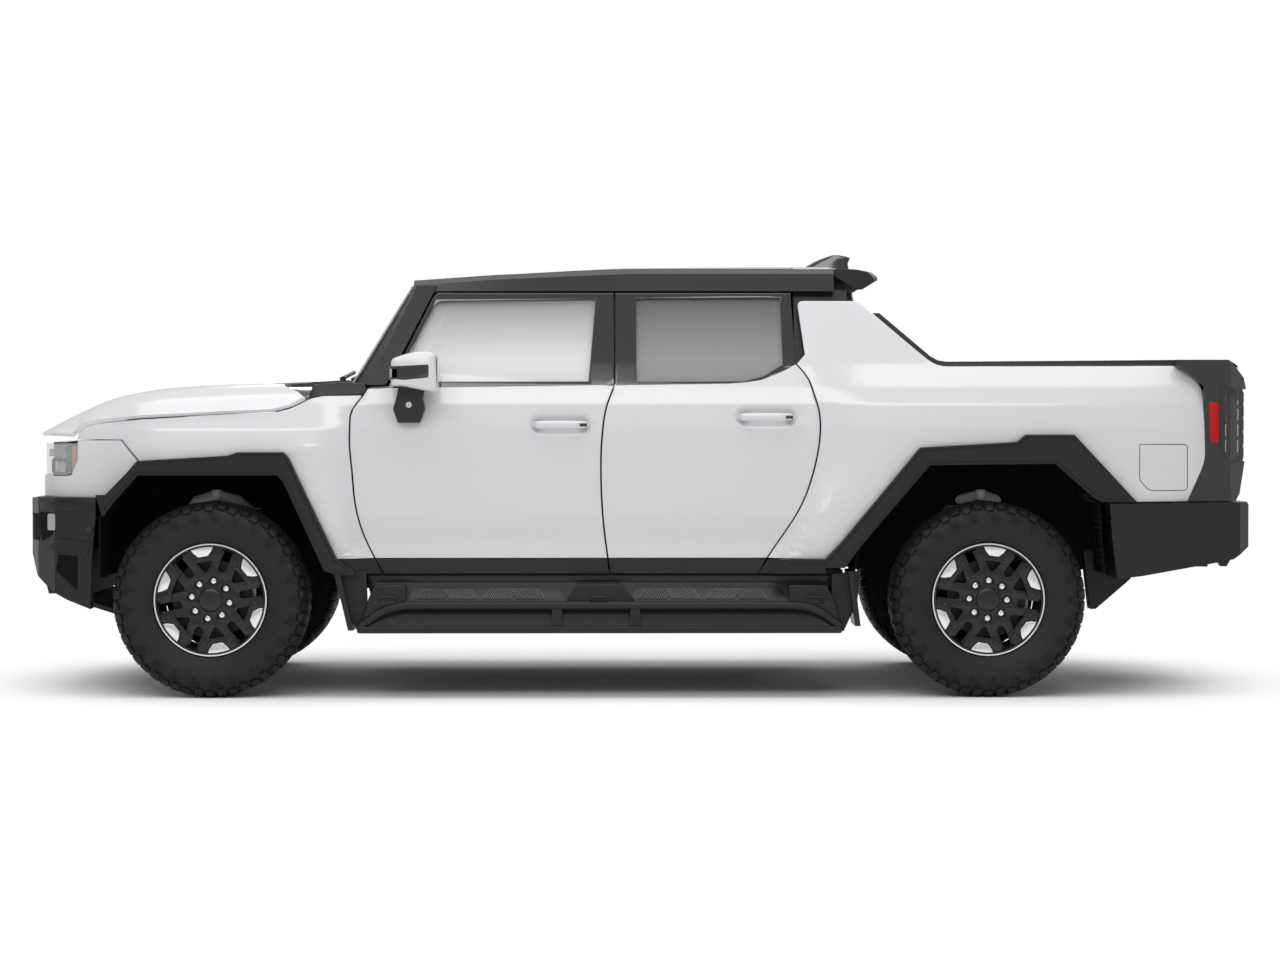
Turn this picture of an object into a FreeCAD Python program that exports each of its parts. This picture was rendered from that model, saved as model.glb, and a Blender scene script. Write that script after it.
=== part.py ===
"""Lifted crew-cab off-road pickup, at real size, in millimetres.

The origin is on the ground under the middle of the vehicle. The nose points along -X,
the left side lies at -Y and +Z is up. Most side pieces are drawn on the left and mirrored.
"""
import FreeCAD
import Part
import Sketcher
import itertools
import math
import os

V = FreeCAD.Vector
doc = FreeCAD.newDocument("OffRoadPickup")
sheet = doc.addObject("Spreadsheet::Sheet", "Sizes")
free_rows = itertools.count(1)
nodes = {}


class Size:
    """A length: its number in millimetres and the formula that ties it to the sheet."""

    def __init__(self, number, formula):
        self.number = float(number)
        self.formula = formula

    def __add__(self, other):
        other = size_of(other)
        return Size(self.number + other.number, f"({self.formula} + {other.formula})")

    def __sub__(self, other):
        other = size_of(other)
        return Size(self.number - other.number, f"({self.formula} - {other.formula})")

    def __mul__(self, other):
        other = size_of(other)
        return Size(self.number * other.number, f"({self.formula} * {other.formula})")

    def __truediv__(self, other):
        other = size_of(other)
        return Size(self.number / other.number, f"({self.formula} / {other.formula})")

    def __neg__(self):
        return Size(-self.number, f"(0 - {self.formula})")

    def __radd__(self, other):
        return size_of(other) + self

    def __rsub__(self, other):
        return size_of(other) - self

    def __rmul__(self, other):
        return size_of(other) * self

    def __float__(self):
        return self.number


def size_of(value):
    """A bare length as a Size, so that both kinds can be added."""
    if isinstance(value, Size):
        return value
    return Size(value, f"({float(value):.6f})")


def cell(alias, number, note):
    """A driving dimension: one row of the sheet with its alias and what it is."""
    row = next(free_rows)
    sheet.set(f"A{row}", note)
    sheet.set(f"B{row}", str(number))
    sheet.setAlias(f"B{row}", alias)
    return Size(number, f"Sizes.{alias}")


# Overall layout
wheelbase = cell("wheelbase", 3444, "front axle to rear axle")
front_overhang = cell("front_overhang", 876, "front bumper to front axle")
rear_overhang = cell("rear_overhang", 1187, "rear axle to rear bumper")
wheel_track = cell("wheel_track", 1877, "between the tyres' middle planes")
overall_width = cell("overall_width", 2201, "across the arch claddings")
half_length = (wheelbase + front_overhang + rear_overhang) / 2
front_axle = front_overhang - half_length
rear_axle = front_axle + wheelbase

# Wheels
tyre_radius = cell("tyre_radius", 433, "tyre to its lug tips")
tread_depth = cell("tread_depth", 11, "lug tips to the grooves between them")
tyre_width = cell("tyre_width", 305, "tyre across its sidewalls")
rim_radius = cell("rim_radius", 249, "rim flange")
rim_width = cell("rim_width", 236, "rim across its flanges")
barrel_radius = cell("barrel_radius", 222, "inside of the rim's barrel")
spoke_depth = cell("spoke_depth", 46, "spoke plate thickness")
kingpin_inset = cell("kingpin_inset", 40, "tyre middle plane to the steering axis")
joint_rise = cell("joint_rise", 150, "wheel centre to each ball joint")
hub_gap = cell("hub_gap", 0.3, "running gap at hub and ball joints")
arm_width = cell("arm_width", 54, "suspension arm along the vehicle")

# Body skin
panel_gap = cell("panel_gap", 8, "shut line between panels")
door_skin = cell("door_skin", 5, "outer layer of a door")
door_inset = cell("door_inset", 38, "door shell inside its skin's edge")
door_inner = cell("door_inner", 890, "centre plane to the doors' inner face")
frame_inset = cell("frame_inset", 6, "door window frame inside its skin's edge")
frame_depth = cell("frame_depth", 42, "door window frame thickness")
panel_depth = cell("panel_depth", 44, "fender and bed side thickness")
glass_depth = cell("glass_depth", 6, "window glass thickness")
sill_height = cell("sill_height", 545, "bottom of the doors")
belt_height = cell("belt_height", 1372, "bottom of the side windows")
cant_height = cell("cant_height", 1797, "top of the side doors")
waist_half = cell("waist_half", 1005, "centre plane to the doors' widest line")
belt_half = cell("belt_half", 962, "centre plane to the belt line")
cant_half = cell("cant_half", 803, "centre plane to the doors' top")
flare_rise = cell("flare_rise", 58, "wheel flare outside the door skin")

# Roof, cab and bed
roof_edge = cell("roof_edge", 1908, "top of the roof rails over the rear doors")
roof_crown = cell("roof_crown", 29, "middle of the roof above its rails")
floor_height = cell("floor_height", 590, "top of the cab floor")
bed_floor_height = cell("bed_floor_height", 935, "top of the bed floor")
bed_inner_half = cell("bed_inner_half", 850, "centre plane to the bed's side wall")
bed_wall = cell("bed_wall", 26, "bed liner thickness")
tailgate_depth = cell("tailgate_depth", 86, "tailgate thickness")
tailgate_half = cell("tailgate_half", 780, "centre plane to the tailgate's end")
battery_height = cell("battery_height", 215, "battery case height")
step_reach = cell("step_reach", 1096, "centre plane to the side step's tube")
hinge_inset = cell("hinge_inset", 13, "widest part of the door skin to its hinge axis, inwards")
front_hinge_x = cell("front_hinge_x", 700, "front axle to the front door's hinge axis")
rear_hinge_x = cell("rear_hinge_x", 1756, "front axle to the rear door's hinge axis")
hinge_pin = cell("hinge_pin", 5.9, "door hinge pin")


def fx(offset):
    """A place along the vehicle, measured from the front axle."""
    return front_axle + offset


def rx(offset):
    """A place along the vehicle, measured from the rear axle."""
    return rear_axle + offset


def numbers(points):
    return [tuple(float(v) for v in p) for p in points]


# Building blocks: each makes one object of the document

def bind(thing, **formulas):
    for prop, value in formulas.items():
        value = size_of(value)
        setattr(thing, prop, value.number)
        thing.setExpression(prop, value.formula)


def place(thing, x, y, z):
    for axis, value in zip("xyz", (x, y, z)):
        value = size_of(value)
        setattr(thing.Placement.Base, axis, value.number)
        thing.setExpression(f"Placement.Base.{axis}", value.formula)
    return thing


def block(name, x_span, y_span, z_span):
    box = doc.addObject("Part::Box", name)
    spans = [(size_of(a), size_of(b)) for a, b in (x_span, y_span, z_span)]
    (xa, xb), (ya, yb), (za, zb) = spans
    bind(box, Length=xb - xa, Width=yb - ya, Height=zb - za)
    return place(box, xa, ya, za)


def rod(name, x, y, z, axis, radius, length):
    cylinder = doc.addObject("Part::Cylinder", name)
    bind(cylinder, Radius=radius, Height=length)
    turns = {
        "X": FreeCAD.Rotation(V(0, 1, 0), 90),
        "Y": FreeCAD.Rotation(V(1, 0, 0), -90),
        "Z": FreeCAD.Rotation(),
    }
    cylinder.Placement = FreeCAD.Placement(V(), turns[axis])
    return place(cylinder, x, y, z)


def sketched(body, name, role, points, offset=0):
    """A closed polygon on one of the body's own planes, each corner tied to the sheet."""
    sketch = body.newObject("Sketcher::SketchObject", name)
    plane = [f for f in body.Origin.OriginFeatures if f.Role == role][0]
    sketch.AttachmentSupport = [(plane, "")]
    sketch.MapMode = "FlatFace"
    offset = size_of(offset)
    sketch.AttachmentOffset.Base.z = offset.number
    sketch.setExpression("AttachmentOffset.Base.z", offset.formula)
    corners = [(size_of(a), size_of(b)) for a, b in points]
    count = len(corners)
    for i in range(count):
        a = corners[i]
        b = corners[(i + 1) % count]
        line = Part.LineSegment(V(a[0].number, a[1].number, 0), V(b[0].number, b[1].number, 0))
        sketch.addGeometry(line, False)
    for i in range(count):
        sketch.addConstraint(Sketcher.Constraint("Coincident", i, 2, (i + 1) % count, 1))
    for i, corner in enumerate(corners):
        for kind, value in zip(("DistanceX", "DistanceY"), corner):
            index = sketch.addConstraint(Sketcher.Constraint(kind, i, 1, value.number))
            sketch.setExpression(f"Constraints[{index}]", value.formula)
    return sketch


def plate(name, role, points, start, length):
    """A polygon padded along its plane's normal: -Y for XZ_Plane, +X for YZ_Plane, +Z for XY_Plane."""
    body = doc.addObject("PartDesign::Body", name)
    sketch = sketched(body, name + "_outline", role, points, start)
    pad = body.newObject("PartDesign::Pad", name + "_pad")
    pad.Profile = sketch
    bind(pad, Length=length)
    return body


def turned(name, profile, axis_name, place_at):
    """A profile in the XZ plane revolved about its own origin's vertical axis, then laid along Y."""
    body = doc.addObject("PartDesign::Body", name)
    sketch = sketched(body, name + "_profile", "XZ_Plane", profile)
    turn = body.newObject("PartDesign::Revolution", name + "_turn")
    turn.Profile = sketch
    turn.ReferenceAxis = (sketch, [axis_name])
    turn.Angle = 360
    body.Placement = FreeCAD.Placement(V(), FreeCAD.Rotation(V(1, 0, 0), 90))
    return place(body, *place_at)


def fused(name, *parts):
    union = doc.addObject("Part::MultiFuse", name)
    union.Shapes = list(parts)
    return union


def cut(name, base, tool):
    result = doc.addObject("Part::Cut", name)
    result.Base = base
    result.Tool = tool
    return result


def formed(name, shape):
    """A piece whose shape follows a formula or a loft that the features above can't make."""
    piece = doc.addObject("Part::Feature", name)
    piece.Shape = shape
    return piece


def mirrored(name, source):
    image = doc.addObject("Part::Mirroring", name)
    image.Source = source
    image.Normal = V(0, 1, 0)
    return image


def grouped(name, *parts):
    group = doc.addObject("Part::Compound", name)
    group.Links = list(parts)
    return group


def both_sides(name, *parts):
    """The pieces and their mirror images as one node of solids that don't touch."""
    images = [mirrored(f"{name}_image_{i}", part) for i, part in enumerate(parts)]
    return grouped(name, *parts, *images)


def node(label, piece):
    piece.Label = label
    nodes[label] = piece
    return piece


def wire(points):
    """A closed flat wire through corners given as vectors."""
    return Part.makePolygon([*points, points[0]])


def loft(sections):
    """A closed ruled solid through sections with equal numbers of corners."""
    return Part.makeLoft([wire(s) for s in sections], True, True)


def side_prism(points, y_from=-1300.0, y_to=-300.0):
    """A side-view outline as a prism through the left half of the body."""
    outline = Part.Face(wire([V(x, y_from, z) for x, z in numbers(points)]))
    return outline.extrude(V(0, y_to - y_from, 0))


def curve_through(points):
    """Points on a smooth curve through a few corners, for shut lines that bend."""
    spline = Part.BSplineCurve()
    spline.interpolate([V(x, 0, z) for x, z in numbers(points)])
    return [(p.x, p.z) for p in spline.discretize(Number=3 * len(points))]


# Side surface: half widths of the skin at heights, and where the flares rise from it

SKIN_LEVELS = [
    (sill_height, waist_half - 20, 0.95, 0.95),
    (614, waist_half - 13, 1.0, 1.0),
    (690, waist_half - 27, 1.25, 1.25),
    (815, waist_half, 0.95, 0.95),
    (1100, waist_half - 3, 1.0, 1.0),
    (1190, waist_half - 5, 0.72, 1.0),
    (1300, waist_half - 20, 0.0, 0.95),
    (belt_height, belt_half, 0.0, 0.8),
    (1480, belt_half - 38, 0.0, 0.15),
    (cant_height, cant_half, 0.0, 0.0),
    (cant_height + 20, cant_half - 7, 0.0, 0.0),
]
# Shut lines and crease lines in side view, from the sill upwards
FRONT_SHUT = [(762, 545), (727, 607), (666, 739), (639, 845), (622, 1011), (613, 1100),
              (613, 1187), (622, 1270), (670, 1336), (692, 1372)]
MIDDLE_SHUT = [(1766, 545), (1757, 616), (1740, 748), (1727, 967), (1731, 1143), (1753, 1292),
               (1788, 1384)]
REAR_SHUT = [(-1019, 545), (-976, 619), (-898, 733), (-834, 837), (-807, 896), (-775, 993),
             (-752, 1097), (-743, 1189), (-746, 1254), (-768, 1338), (-801, 1423), (-847, 1478)]
FRONT_CREASE = [(634, 545), (622, 607), (448, 1090), (448, 1372)]
REAR_CREASE = [(-920, 545), (-840, 687), (-533, 1120), (-533, 1372)]


def along(line, height):
    """Where a shut or crease line is at a height; past its ends it goes straight up or down."""
    points = numbers(line)
    if height <= points[0][1]:
        return points[0][0]
    for (xa, za), (xb, zb) in zip(points, points[1:]):
        if height <= zb:
            return xa + (xb - xa) * (height - za) / (zb - za)
    return points[-1][0]


def skin_stations():
    """The skin's stations from nose to tail: (place at a height, flare share, front or rear, taper)."""
    front, rear = front_axle.number, rear_axle.number
    def at(x):
        return lambda z: x
    def on(base, line, shift=0.0):
        return lambda z: base + along(line, z) + shift
    return [
        (at(front - 790), 0.0, 2, 150.0),
        (at(front - 700), 0.2, 2, 92.0),
        (at(front - 600), 0.6, 2, 44.0),
        (at(front - 440), 0.9, 2, 12.0),
        (at(front - 270), 1.0, 2, 0.0),
        (on(front, FRONT_CREASE), 1.0, 2, 0.0),
        (on(front, FRONT_SHUT, -14.0), 0.0, 2, 0.0),
        (at(front + 1770), 0.0, 3, 0.0),
        (on(rear, REAR_SHUT, 16.0), 0.0, 3, 0.0),
        (on(rear, REAR_CREASE), 1.0, 3, 0.0),
        (at(rear + 640), 1.0, 3, 0.0),
        (at(rear + 820), 0.7, 3, 10.0),
        (at(rear + 980), 0.4, 3, 40.0),
    ]


def side_slab(inner):
    """The left side's outer surface, closed inwards by a rule that gives each level's inner half width."""
    sections = []
    for place_at, share, column, taper in skin_stations():
        outer = []
        for level in SKIN_LEVELS:
            z = float(level[0])
            half = float(level[1]) + share * level[column] * flare_rise.number - taper
            outer.append((place_at(z), half, z))
        points = [V(x, -half, z) for x, half, z in outer]
        points += [V(x, taper - inner(half + taper, z), z) for x, half, z in reversed(outer)]
        sections.append(points)
    return loft(sections)


def panel_inner(half, z):
    return half - panel_depth.number


def door_inner_face(half, z):
    if z <= belt_height.number:
        return door_inner.number
    return half - frame_depth.number


panel_slab = side_slab(panel_inner)
door_slab = side_slab(door_inner_face)


# Doors

def offset_outline(points, distance):
    """A side-view outline moved in (negative) or out (positive), as a face at y = -1300."""
    face = Part.Face(wire([V(x, -1300, z) for x, z in numbers(points)]))
    return face.makeOffset2D(distance, 2)


def door_outline(lead, trail, top):
    return [*lead, *top, *trail]


def skin_layer(depth):
    """The slab's outer layer only."""
    return side_slab(lambda half, z: half - depth)


HINGE_HEIGHTS = (815.0, 930.0)
hinge_height = 56.0


def hinge_pockets(axis_x):
    """Notches in a door's front shut face that its hinge leafs swing in."""
    skin_inside, margin = -waist_half.number + 6.8, 6.0
    pocket_length = 76.0
    return [
        Part.makeBox(pocket_length, 120, hinge_height + 2 * margin,
                     V(axis_x - pocket_length + 14, skin_inside, z - margin))
        for z in HINGE_HEIGHTS
    ]


def door_shape(outline, window):
    """A door as thick as the whole door: skin to its edge, shell set in from it, window cut out."""
    belt = belt_height.number + 4
    below = Part.makeBox(9000, 2000, belt, V(-4500, -1500, 0))
    above = Part.makeBox(9000, 2000, 1000, V(-4500, -1500, belt))
    lower_edge = offset_outline(outline, -door_inset.number).extrude(V(0, 1000, 0)).common(below)
    upper_edge = offset_outline(outline, -frame_inset.number).extrude(V(0, 1000, 0)).common(above)
    skin = skin_layer(door_skin.number).common(side_prism(outline))
    door = skin.fuse([door_slab.common(lower_edge), door_slab.common(upper_edge)])
    return door.cut(side_prism(window)).removeSplitter()


def shut(base, line, shift):
    return [(base.number + dx + shift, z) for dx, z in curve_through(line)]


half_gap = panel_gap.number / 2
cant = cant_height.number
front_lead = shut(front_axle, FRONT_SHUT, half_gap)
front_trail = shut(front_axle, MIDDLE_SHUT, -half_gap)
rear_lead = shut(front_axle, MIDDLE_SHUT, half_gap)
rear_trail = shut(rear_axle, REAR_SHUT, -half_gap)
front_top = numbers([(fx(782), 1378), (fx(974), cant - 24), (fx(996), cant), (fx(1788) - half_gap, cant)])
rear_top = numbers([(fx(1788) + half_gap, cant), (rx(-866), cant)])
front_window = [(fx(818), 1398), (fx(988), 1748), (fx(1006), 1757), (fx(1704), 1769), (fx(1672), 1400)]
rear_window = [(fx(1884), 1398), (fx(1884), 1771), (rx(-912), 1775), (rx(-906), 1476), (rx(-992), 1424),
               (rx(-1080), 1402)]
front_door_outline = door_outline(front_lead, list(reversed(front_trail)), front_top)
rear_door_outline = door_outline(rear_lead, list(reversed(rear_trail)), rear_top)


def handle(x):
    """A pull handle: a bowed grip on two feet, proud of the door skin."""
    grip_length, grip_height, foot = 262.0, 34.0, 34.0
    skin_y = -waist_half.number + 6
    grip = Part.makeBox(grip_length, 18, grip_height, V(x, skin_y - 46, 1196))
    grip = grip.makeFillet(7, [e for e in grip.Edges])
    feet = [
        Part.makeBox(foot, 44, grip_height - 10, V(x + shift, skin_y - 34, 1201))
        for shift in (8, grip_length - foot - 8)
    ]
    return grip.fuse(feet).removeSplitter()


def window_glass(window, shrink):
    """Glass that fills a door window, inside its frame by the given margin."""
    face = Part.Face(wire([V(x, -1300, z) for x, z in numbers(window)]))
    prism = face.makeOffset2D(-shrink, 2).extrude(V(0, 1000, 0))
    middle = frame_depth.number / 2
    outer = side_slab(lambda half, z: half - middle - glass_depth.number)
    inner = side_slab(lambda half, z: half - middle)
    return outer.cut(inner).common(prism).removeSplitter()


def make_door(name, outline, window, handle_x, hinge_x):
    body = door_shape(outline, window).fuse(handle(handle_x)).cut(hinge_pockets(hinge_x)).removeSplitter()
    door = formed(f"{name}_left_form", body)
    node(f"{name}_left", grouped(f"{name}_left", door))
    node(f"{name}_right", mirrored(f"{name}_right", door))
    glass = formed(f"{name}_glass_left_form", window_glass(window, 0.3))
    node(f"{name}_glass_left", grouped(f"{name}_glass_left", glass))
    node(f"{name}_glass_right", mirrored(f"{name}_glass_right", glass))


make_door("front_door", front_door_outline, front_window, fx(1416).number,
          front_axle.number + front_hinge_x.number)
make_door("rear_door", rear_door_outline, rear_window, rx(-1098).number,
          front_axle.number + rear_hinge_x.number)


# Mirrors: a housing on a stalk that stands on the door skin

MIRROR_FACE = [(800, 1390), (801, 1484), (808, 1498), (860, 1517), (918, 1534), (976, 1534), (987, 1527),
               (1012, 1524), (1014, 1352), (990, 1346), (857, 1374), (812, 1374)]
MIRROR_MIDDLE = (912, 1446)


def mirror_section(y, size):
    """The housing's side outline at a distance from the centre plane, drawn in about its middle."""
    x_middle, z_middle = MIRROR_MIDDLE
    return [V(front_axle.number + x_middle + (x - x_middle) * size, y, z_middle + (z - z_middle) * size)
            for x, z in MIRROR_FACE]


def mirror_housing():
    """Housing with rounded ends and a glass recess, on a faceted stalk."""
    housing = loft([mirror_section(y, size) for y, size in
                    ((-1190, 0.80), (-1182, 0.92), (-1166, 0.98), (-1140, 1.0), (-1020, 1.0), (-994, 0.95))])
    glass_recess = Part.makeBox(30, 150, 146, V(fx(1004).number, -1166, 1364))
    stalk = loft([
        [V(fx(846).number, -1096, 1384), V(fx(950).number, -1096, 1384),
         V(fx(950).number, -1030, 1384), V(fx(846).number, -1030, 1384)],
        [V(fx(826).number, -1090, 1327), V(fx(928).number, -1090, 1327),
         V(fx(928).number, -1000, 1327), V(fx(826).number, -1000, 1327)],
        [V(fx(809).number, -1082, 1278), V(fx(950).number, -1082, 1278),
         V(fx(950).number, -990, 1278), V(fx(809).number, -990, 1278)],
        [V(fx(829).number, -1040, 1214), V(fx(926).number, -1040, 1214),
         V(fx(926).number, -990, 1214), V(fx(829).number, -990, 1214)],
    ])
    stalk = stalk.cut(door_slab)
    return housing.cut(glass_recess).fuse(stalk)


mirror = formed("mirror_form", mirror_housing())
node("mirror_left", grouped("mirror_left", mirror))
node("mirror_right", mirrored("mirror_right", mirror))


# Front fenders and bed sides, cut from the side slab by their own outlines

ARCH_FRONT = [(-458, 898), (-314, 1047), (82, 1070), (120, 1085), (326, 1085), (350, 1061), (560, 614)]
SAIL_LINE = [(-563, 1761), (-340, 1566), (-258, 1496), (-226, 1476), (-190, 1467), (840, 1469)]
TAIL_CUT = [(902, 1434), (960, 1377), (968, 1047), (884, 867)]
ARCH_REAR = [(-725, 612), (-649, 693), (-307, 1105), (122, 1130), (160, 1162), (376, 1162), (653, 865)]
HOOD_LINE = [(-560, 1141), (-520, 1179), (-466, 1213), (-320, 1233), (294, 1262), (390, 1300),
             (448, 1329), (477, 1348)]
hood_gap = panel_gap.number


def fender_shape():
    """White fender: under the hood line, ahead of the door, above the arch cladding."""
    top = [(front_axle.number + dx, z - hood_gap / 2) for dx, z in HOOD_LINE[1:]]
    rear = [(front_axle.number + 678, 1366), *[(x - 2 * half_gap, z) for x, z in reversed(front_lead)
                                               if 612 < z < 1340]]
    arch = [(front_axle.number + dx, z) for dx, z in reversed(ARCH_FRONT[1:])]
    corner = numbers([(fx(-396), 1146), (fx(-500), 1142)])
    return panel_slab.common(side_prism([*top, *rear, *arch, *corner])).removeSplitter()


def bed_side_shape():
    """White bed side with its sail panel up to the roof."""
    shut_line = [(x + 2 * half_gap, z) for x, z in rear_trail if z > 612]
    sail = numbers([(rx(-838), 1761), *[(rx(dx), z) for dx, z in SAIL_LINE]])
    rear = numbers([(rx(dx), z) for dx, z in TAIL_CUT])
    arch = [(rear_axle.number + dx, z) for dx, z in reversed(ARCH_REAR)]
    start = numbers([(rx(-807), 1519)])
    return panel_slab.common(side_prism([*shut_line, *start, *sail, *rear, *arch])).removeSplitter()


node("fenders", both_sides("fenders", formed("fender_form", fender_shape())))

# Charge port: the seam of its shut flap in the left bed side

PORT_OUTLINE = [(668, 1118), (682, 1132), (870, 1132), (884, 1118), (884, 930), (870, 916), (712, 916), (668, 966)]
port_gap, port_seam_depth = 5.0, 6.0


def port_seam():
    """A narrow groove round the flap, sunk from the skin."""
    outline = numbers([(rear_axle.number + dx, z) for dx, z in PORT_OUTLINE])
    ring = side_prism(outline).cut(offset_outline(outline, -port_gap).extrude(V(0, 2000, 0)))
    return side_slab(lambda half, z: half - port_seam_depth).common(ring)


bed_left = formed("bed_left_form", bed_side_shape().cut(port_seam()))
bed_right = mirrored("bed_right", formed("bed_side_form", bed_side_shape()))
node("bed_sides", grouped("bed_sides", bed_left, bed_right))


# Arch claddings: a band round each wheel opening, from the flare out to the full width

def cladding_shape(axle, outer, inner, depth=78.0):
    """A band between the arch line and the wheel opening, thinner along its rim."""
    half = overall_width.number / 2
    rim_step, rim_width_inset = 12.0, 16.0
    ring = numbers([(axle + dx, z) for dx, z in [*outer, *reversed(inner)]])
    base = side_prism(ring, -half + rim_step, -half + depth)
    face = Part.Face(wire([V(x, -half, z) for x, z in ring])).makeOffset2D(-rim_width_inset, 2)
    return base.fuse(face.extrude(V(0, rim_step + 10, 0))).removeSplitter()


FRONT_BAND_OUTER = [(-500, 898), *ARCH_FRONT, (612, 583), (640, 560)]
FRONT_BAND_INNER = [(-470, 800), (-420, 867), (-315, 985), (298, 985), (326, 955), (505, 564), (560, 545),
                    (640, 545)]
REAR_BAND_OUTER = [(-925, 612), *ARCH_REAR, (560, 866)]
REAR_BAND_INNER = [(-900, 575), (-640, 575), (-560, 682), (-264, 1029), (290, 1035), (464, 883), (500, 866)]

front_cladding = formed("front_cladding_form", cladding_shape(front_axle, FRONT_BAND_OUTER, FRONT_BAND_INNER))
rear_cladding = formed("rear_cladding_form", cladding_shape(rear_axle, REAR_BAND_OUTER, REAR_BAND_INNER))


def mud_flap(name, x, lean, height_span):
    low, high = height_span
    inner_y, width = 825, 265
    return plate(name, "XZ_Plane", [(x, high), (x + 24, high), (x + 24 + lean, low), (x + lean, low)],
                 inner_y, width)


front_flap = mud_flap("front_flap", fx(540.3), 70, (300, 600))
rear_flap = mud_flap("rear_flap", rx(-624), 30, (318, 560))
node("arch_trims", both_sides("arch_trims", front_cladding, rear_cladding, front_flap, rear_flap))


# Wheelhouse liners: thin arched walls inside the openings

def liner_shape(axle, points, thickness, y_inner, y_outer):
    """A thin band bent over the wheel along a side-view line, closed by an inner wall."""
    line = numbers([(axle + dx, z) for dx, z in points])
    outline = Part.Face(wire([V(x, y_outer, z) for x, z in line]))
    solid = outline.extrude(V(0, y_inner - y_outer, 0))
    hollow = Part.Face(wire([V(x, y_outer - 1, z) for x, z in line])).makeOffset2D(-thickness, 2)
    hollow = hollow.extrude(V(0, y_inner - y_outer - thickness, 0))
    low = min(z for x, z in line)
    drop = Part.makeBox(4000, 2000, thickness + 2, V(axle.number - 2000, -1500, low - 1))
    arm_window = Part.makeBox(350, 60, 340, V(axle.number - 175, y_inner - 30, 500))
    return solid.cut(hollow).cut(drop).cut(arm_window)


liner_edge = -overall_width.number / 2 + 78
front_liner = formed("front_liner_form", liner_shape(
    front_axle, [(-496, 520), (-496, 800), (-345, 1000), (330, 1000), (540, 560), (540, 520)], 8,
    -552, liner_edge))
rear_liner = formed("rear_liner_form", liner_shape(
    rear_axle, [(-600, 540), (-570, 700), (-440, 860), (-440, 930), (-310, 1050), (330, 1050), (440, 960),
                (440, 880), (500, 860), (520, 540)], 8, -672.3, liner_edge))
node("wheelhouse_liners", both_sides("wheelhouse_liners", front_liner, rear_liner))


# Nose: corner panels and lower band in body colour, grille board, lamps, light bar

NOSE_PLAN = [(-824, 0), (-816, 350), (-796, 620), (-752, 800), (-690, 902), (-590, 962), (-440, 1000),
             (-322, 1046)]


def nose_prism(low, high, setback=0.0, depth=60.0):
    """The nose's plan outline as a wall of a given depth between two heights, both sides."""
    outer = [(front_axle.number + dx + setback, -y) for dx, y in NOSE_PLAN]
    whole = [*outer, *[(x, -y) for x, y in reversed(outer[1:])]]
    face = Part.Face(wire([V(x, y, low) for x, y in whole]))
    inner = face.makeOffset2D(-depth, 2)
    back = Part.makeBox(2 * depth, 4000, high - low + 2, V(front_axle.number - 322 - depth * 1.02, -2000, low - 1))
    wall = face.extrude(V(0, 0, high - low)).cut(inner.extrude(V(0, 0, high - low))).cut(back)
    return wall


LAMP_WINDOW = [(fx(-900), 978), (fx(-630), 978), (fx(-598), 1050), (fx(-596), 1160), (fx(-900), 1160)]


def fascia_shape():
    """Lower band under the lamps and the two corners behind them."""
    band = nose_prism(884.3, 1138)
    arch = [(fx(-463.5), 880), (fx(-463.5), 892), (fx(-314.4), 1047), (fx(-396.4), 1146), (fx(-396.4), 1200),
            (fx(-200), 1200), (fx(-200), 880)]
    return band.cut(side_prism(LAMP_WINDOW, -2000, 2000)).cut(side_prism(arch, -2000, 2000))


node("front_fascia", grouped("front_fascia", formed("fascia_form", fascia_shape())))


def lamp_band(low, high, setback, depth, y_min, y_max):
    """Part of the nose wall between two distances from the centre plane, left and right."""
    wall = nose_prism(low, high, setback, depth)
    keep = Part.makeBox(700, y_max - y_min, high - low, V(front_axle.number - 900, y_min, low))
    window = offset_outline(LAMP_WINDOW, -0.3).extrude(V(0, 3000, 0))
    left = wall.common(keep).common(window)
    return left, left.mirror(V(0, 0, 0), V(0, 1, 0))


lamp_top = 1126
lamp_left, lamp_right = lamp_band(978.3, lamp_top, 14, 120, 616.3, 1000)
node("headlamps", grouped("headlamps", formed("headlamp_a", lamp_left), formed("headlamp_b", lamp_right)))
grille_wall = nose_prism(978.3, lamp_top, 40, 60).common(
    Part.makeBox(900, 1232, 400, V(front_axle.number - 900, -616, 900)))
node("grille_board", grouped("grille_board", formed("grille_form", grille_wall)))
bars = []
for index in range(6):
    bar_width, bar_pitch = 150, 196
    y = (index - 2.5) * bar_pitch - bar_width / 2
    slot = Part.makeBox(400, bar_width, 40, V(front_axle.number - 900, y, 1060))
    bars.append(formed(f"light_bar_{index}", nose_prism(1062, 1094, 16, 34).common(slot).cut(grille_wall)))


# Front bumper: a deep black casting with open corners, bash plate and hooks

BUMPER_PLAN = [(-876, 0), (-868, 420), (-840, 700), (-790, 850), (-700, 962), (-560, 1024), (-440, 1070)]


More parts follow.
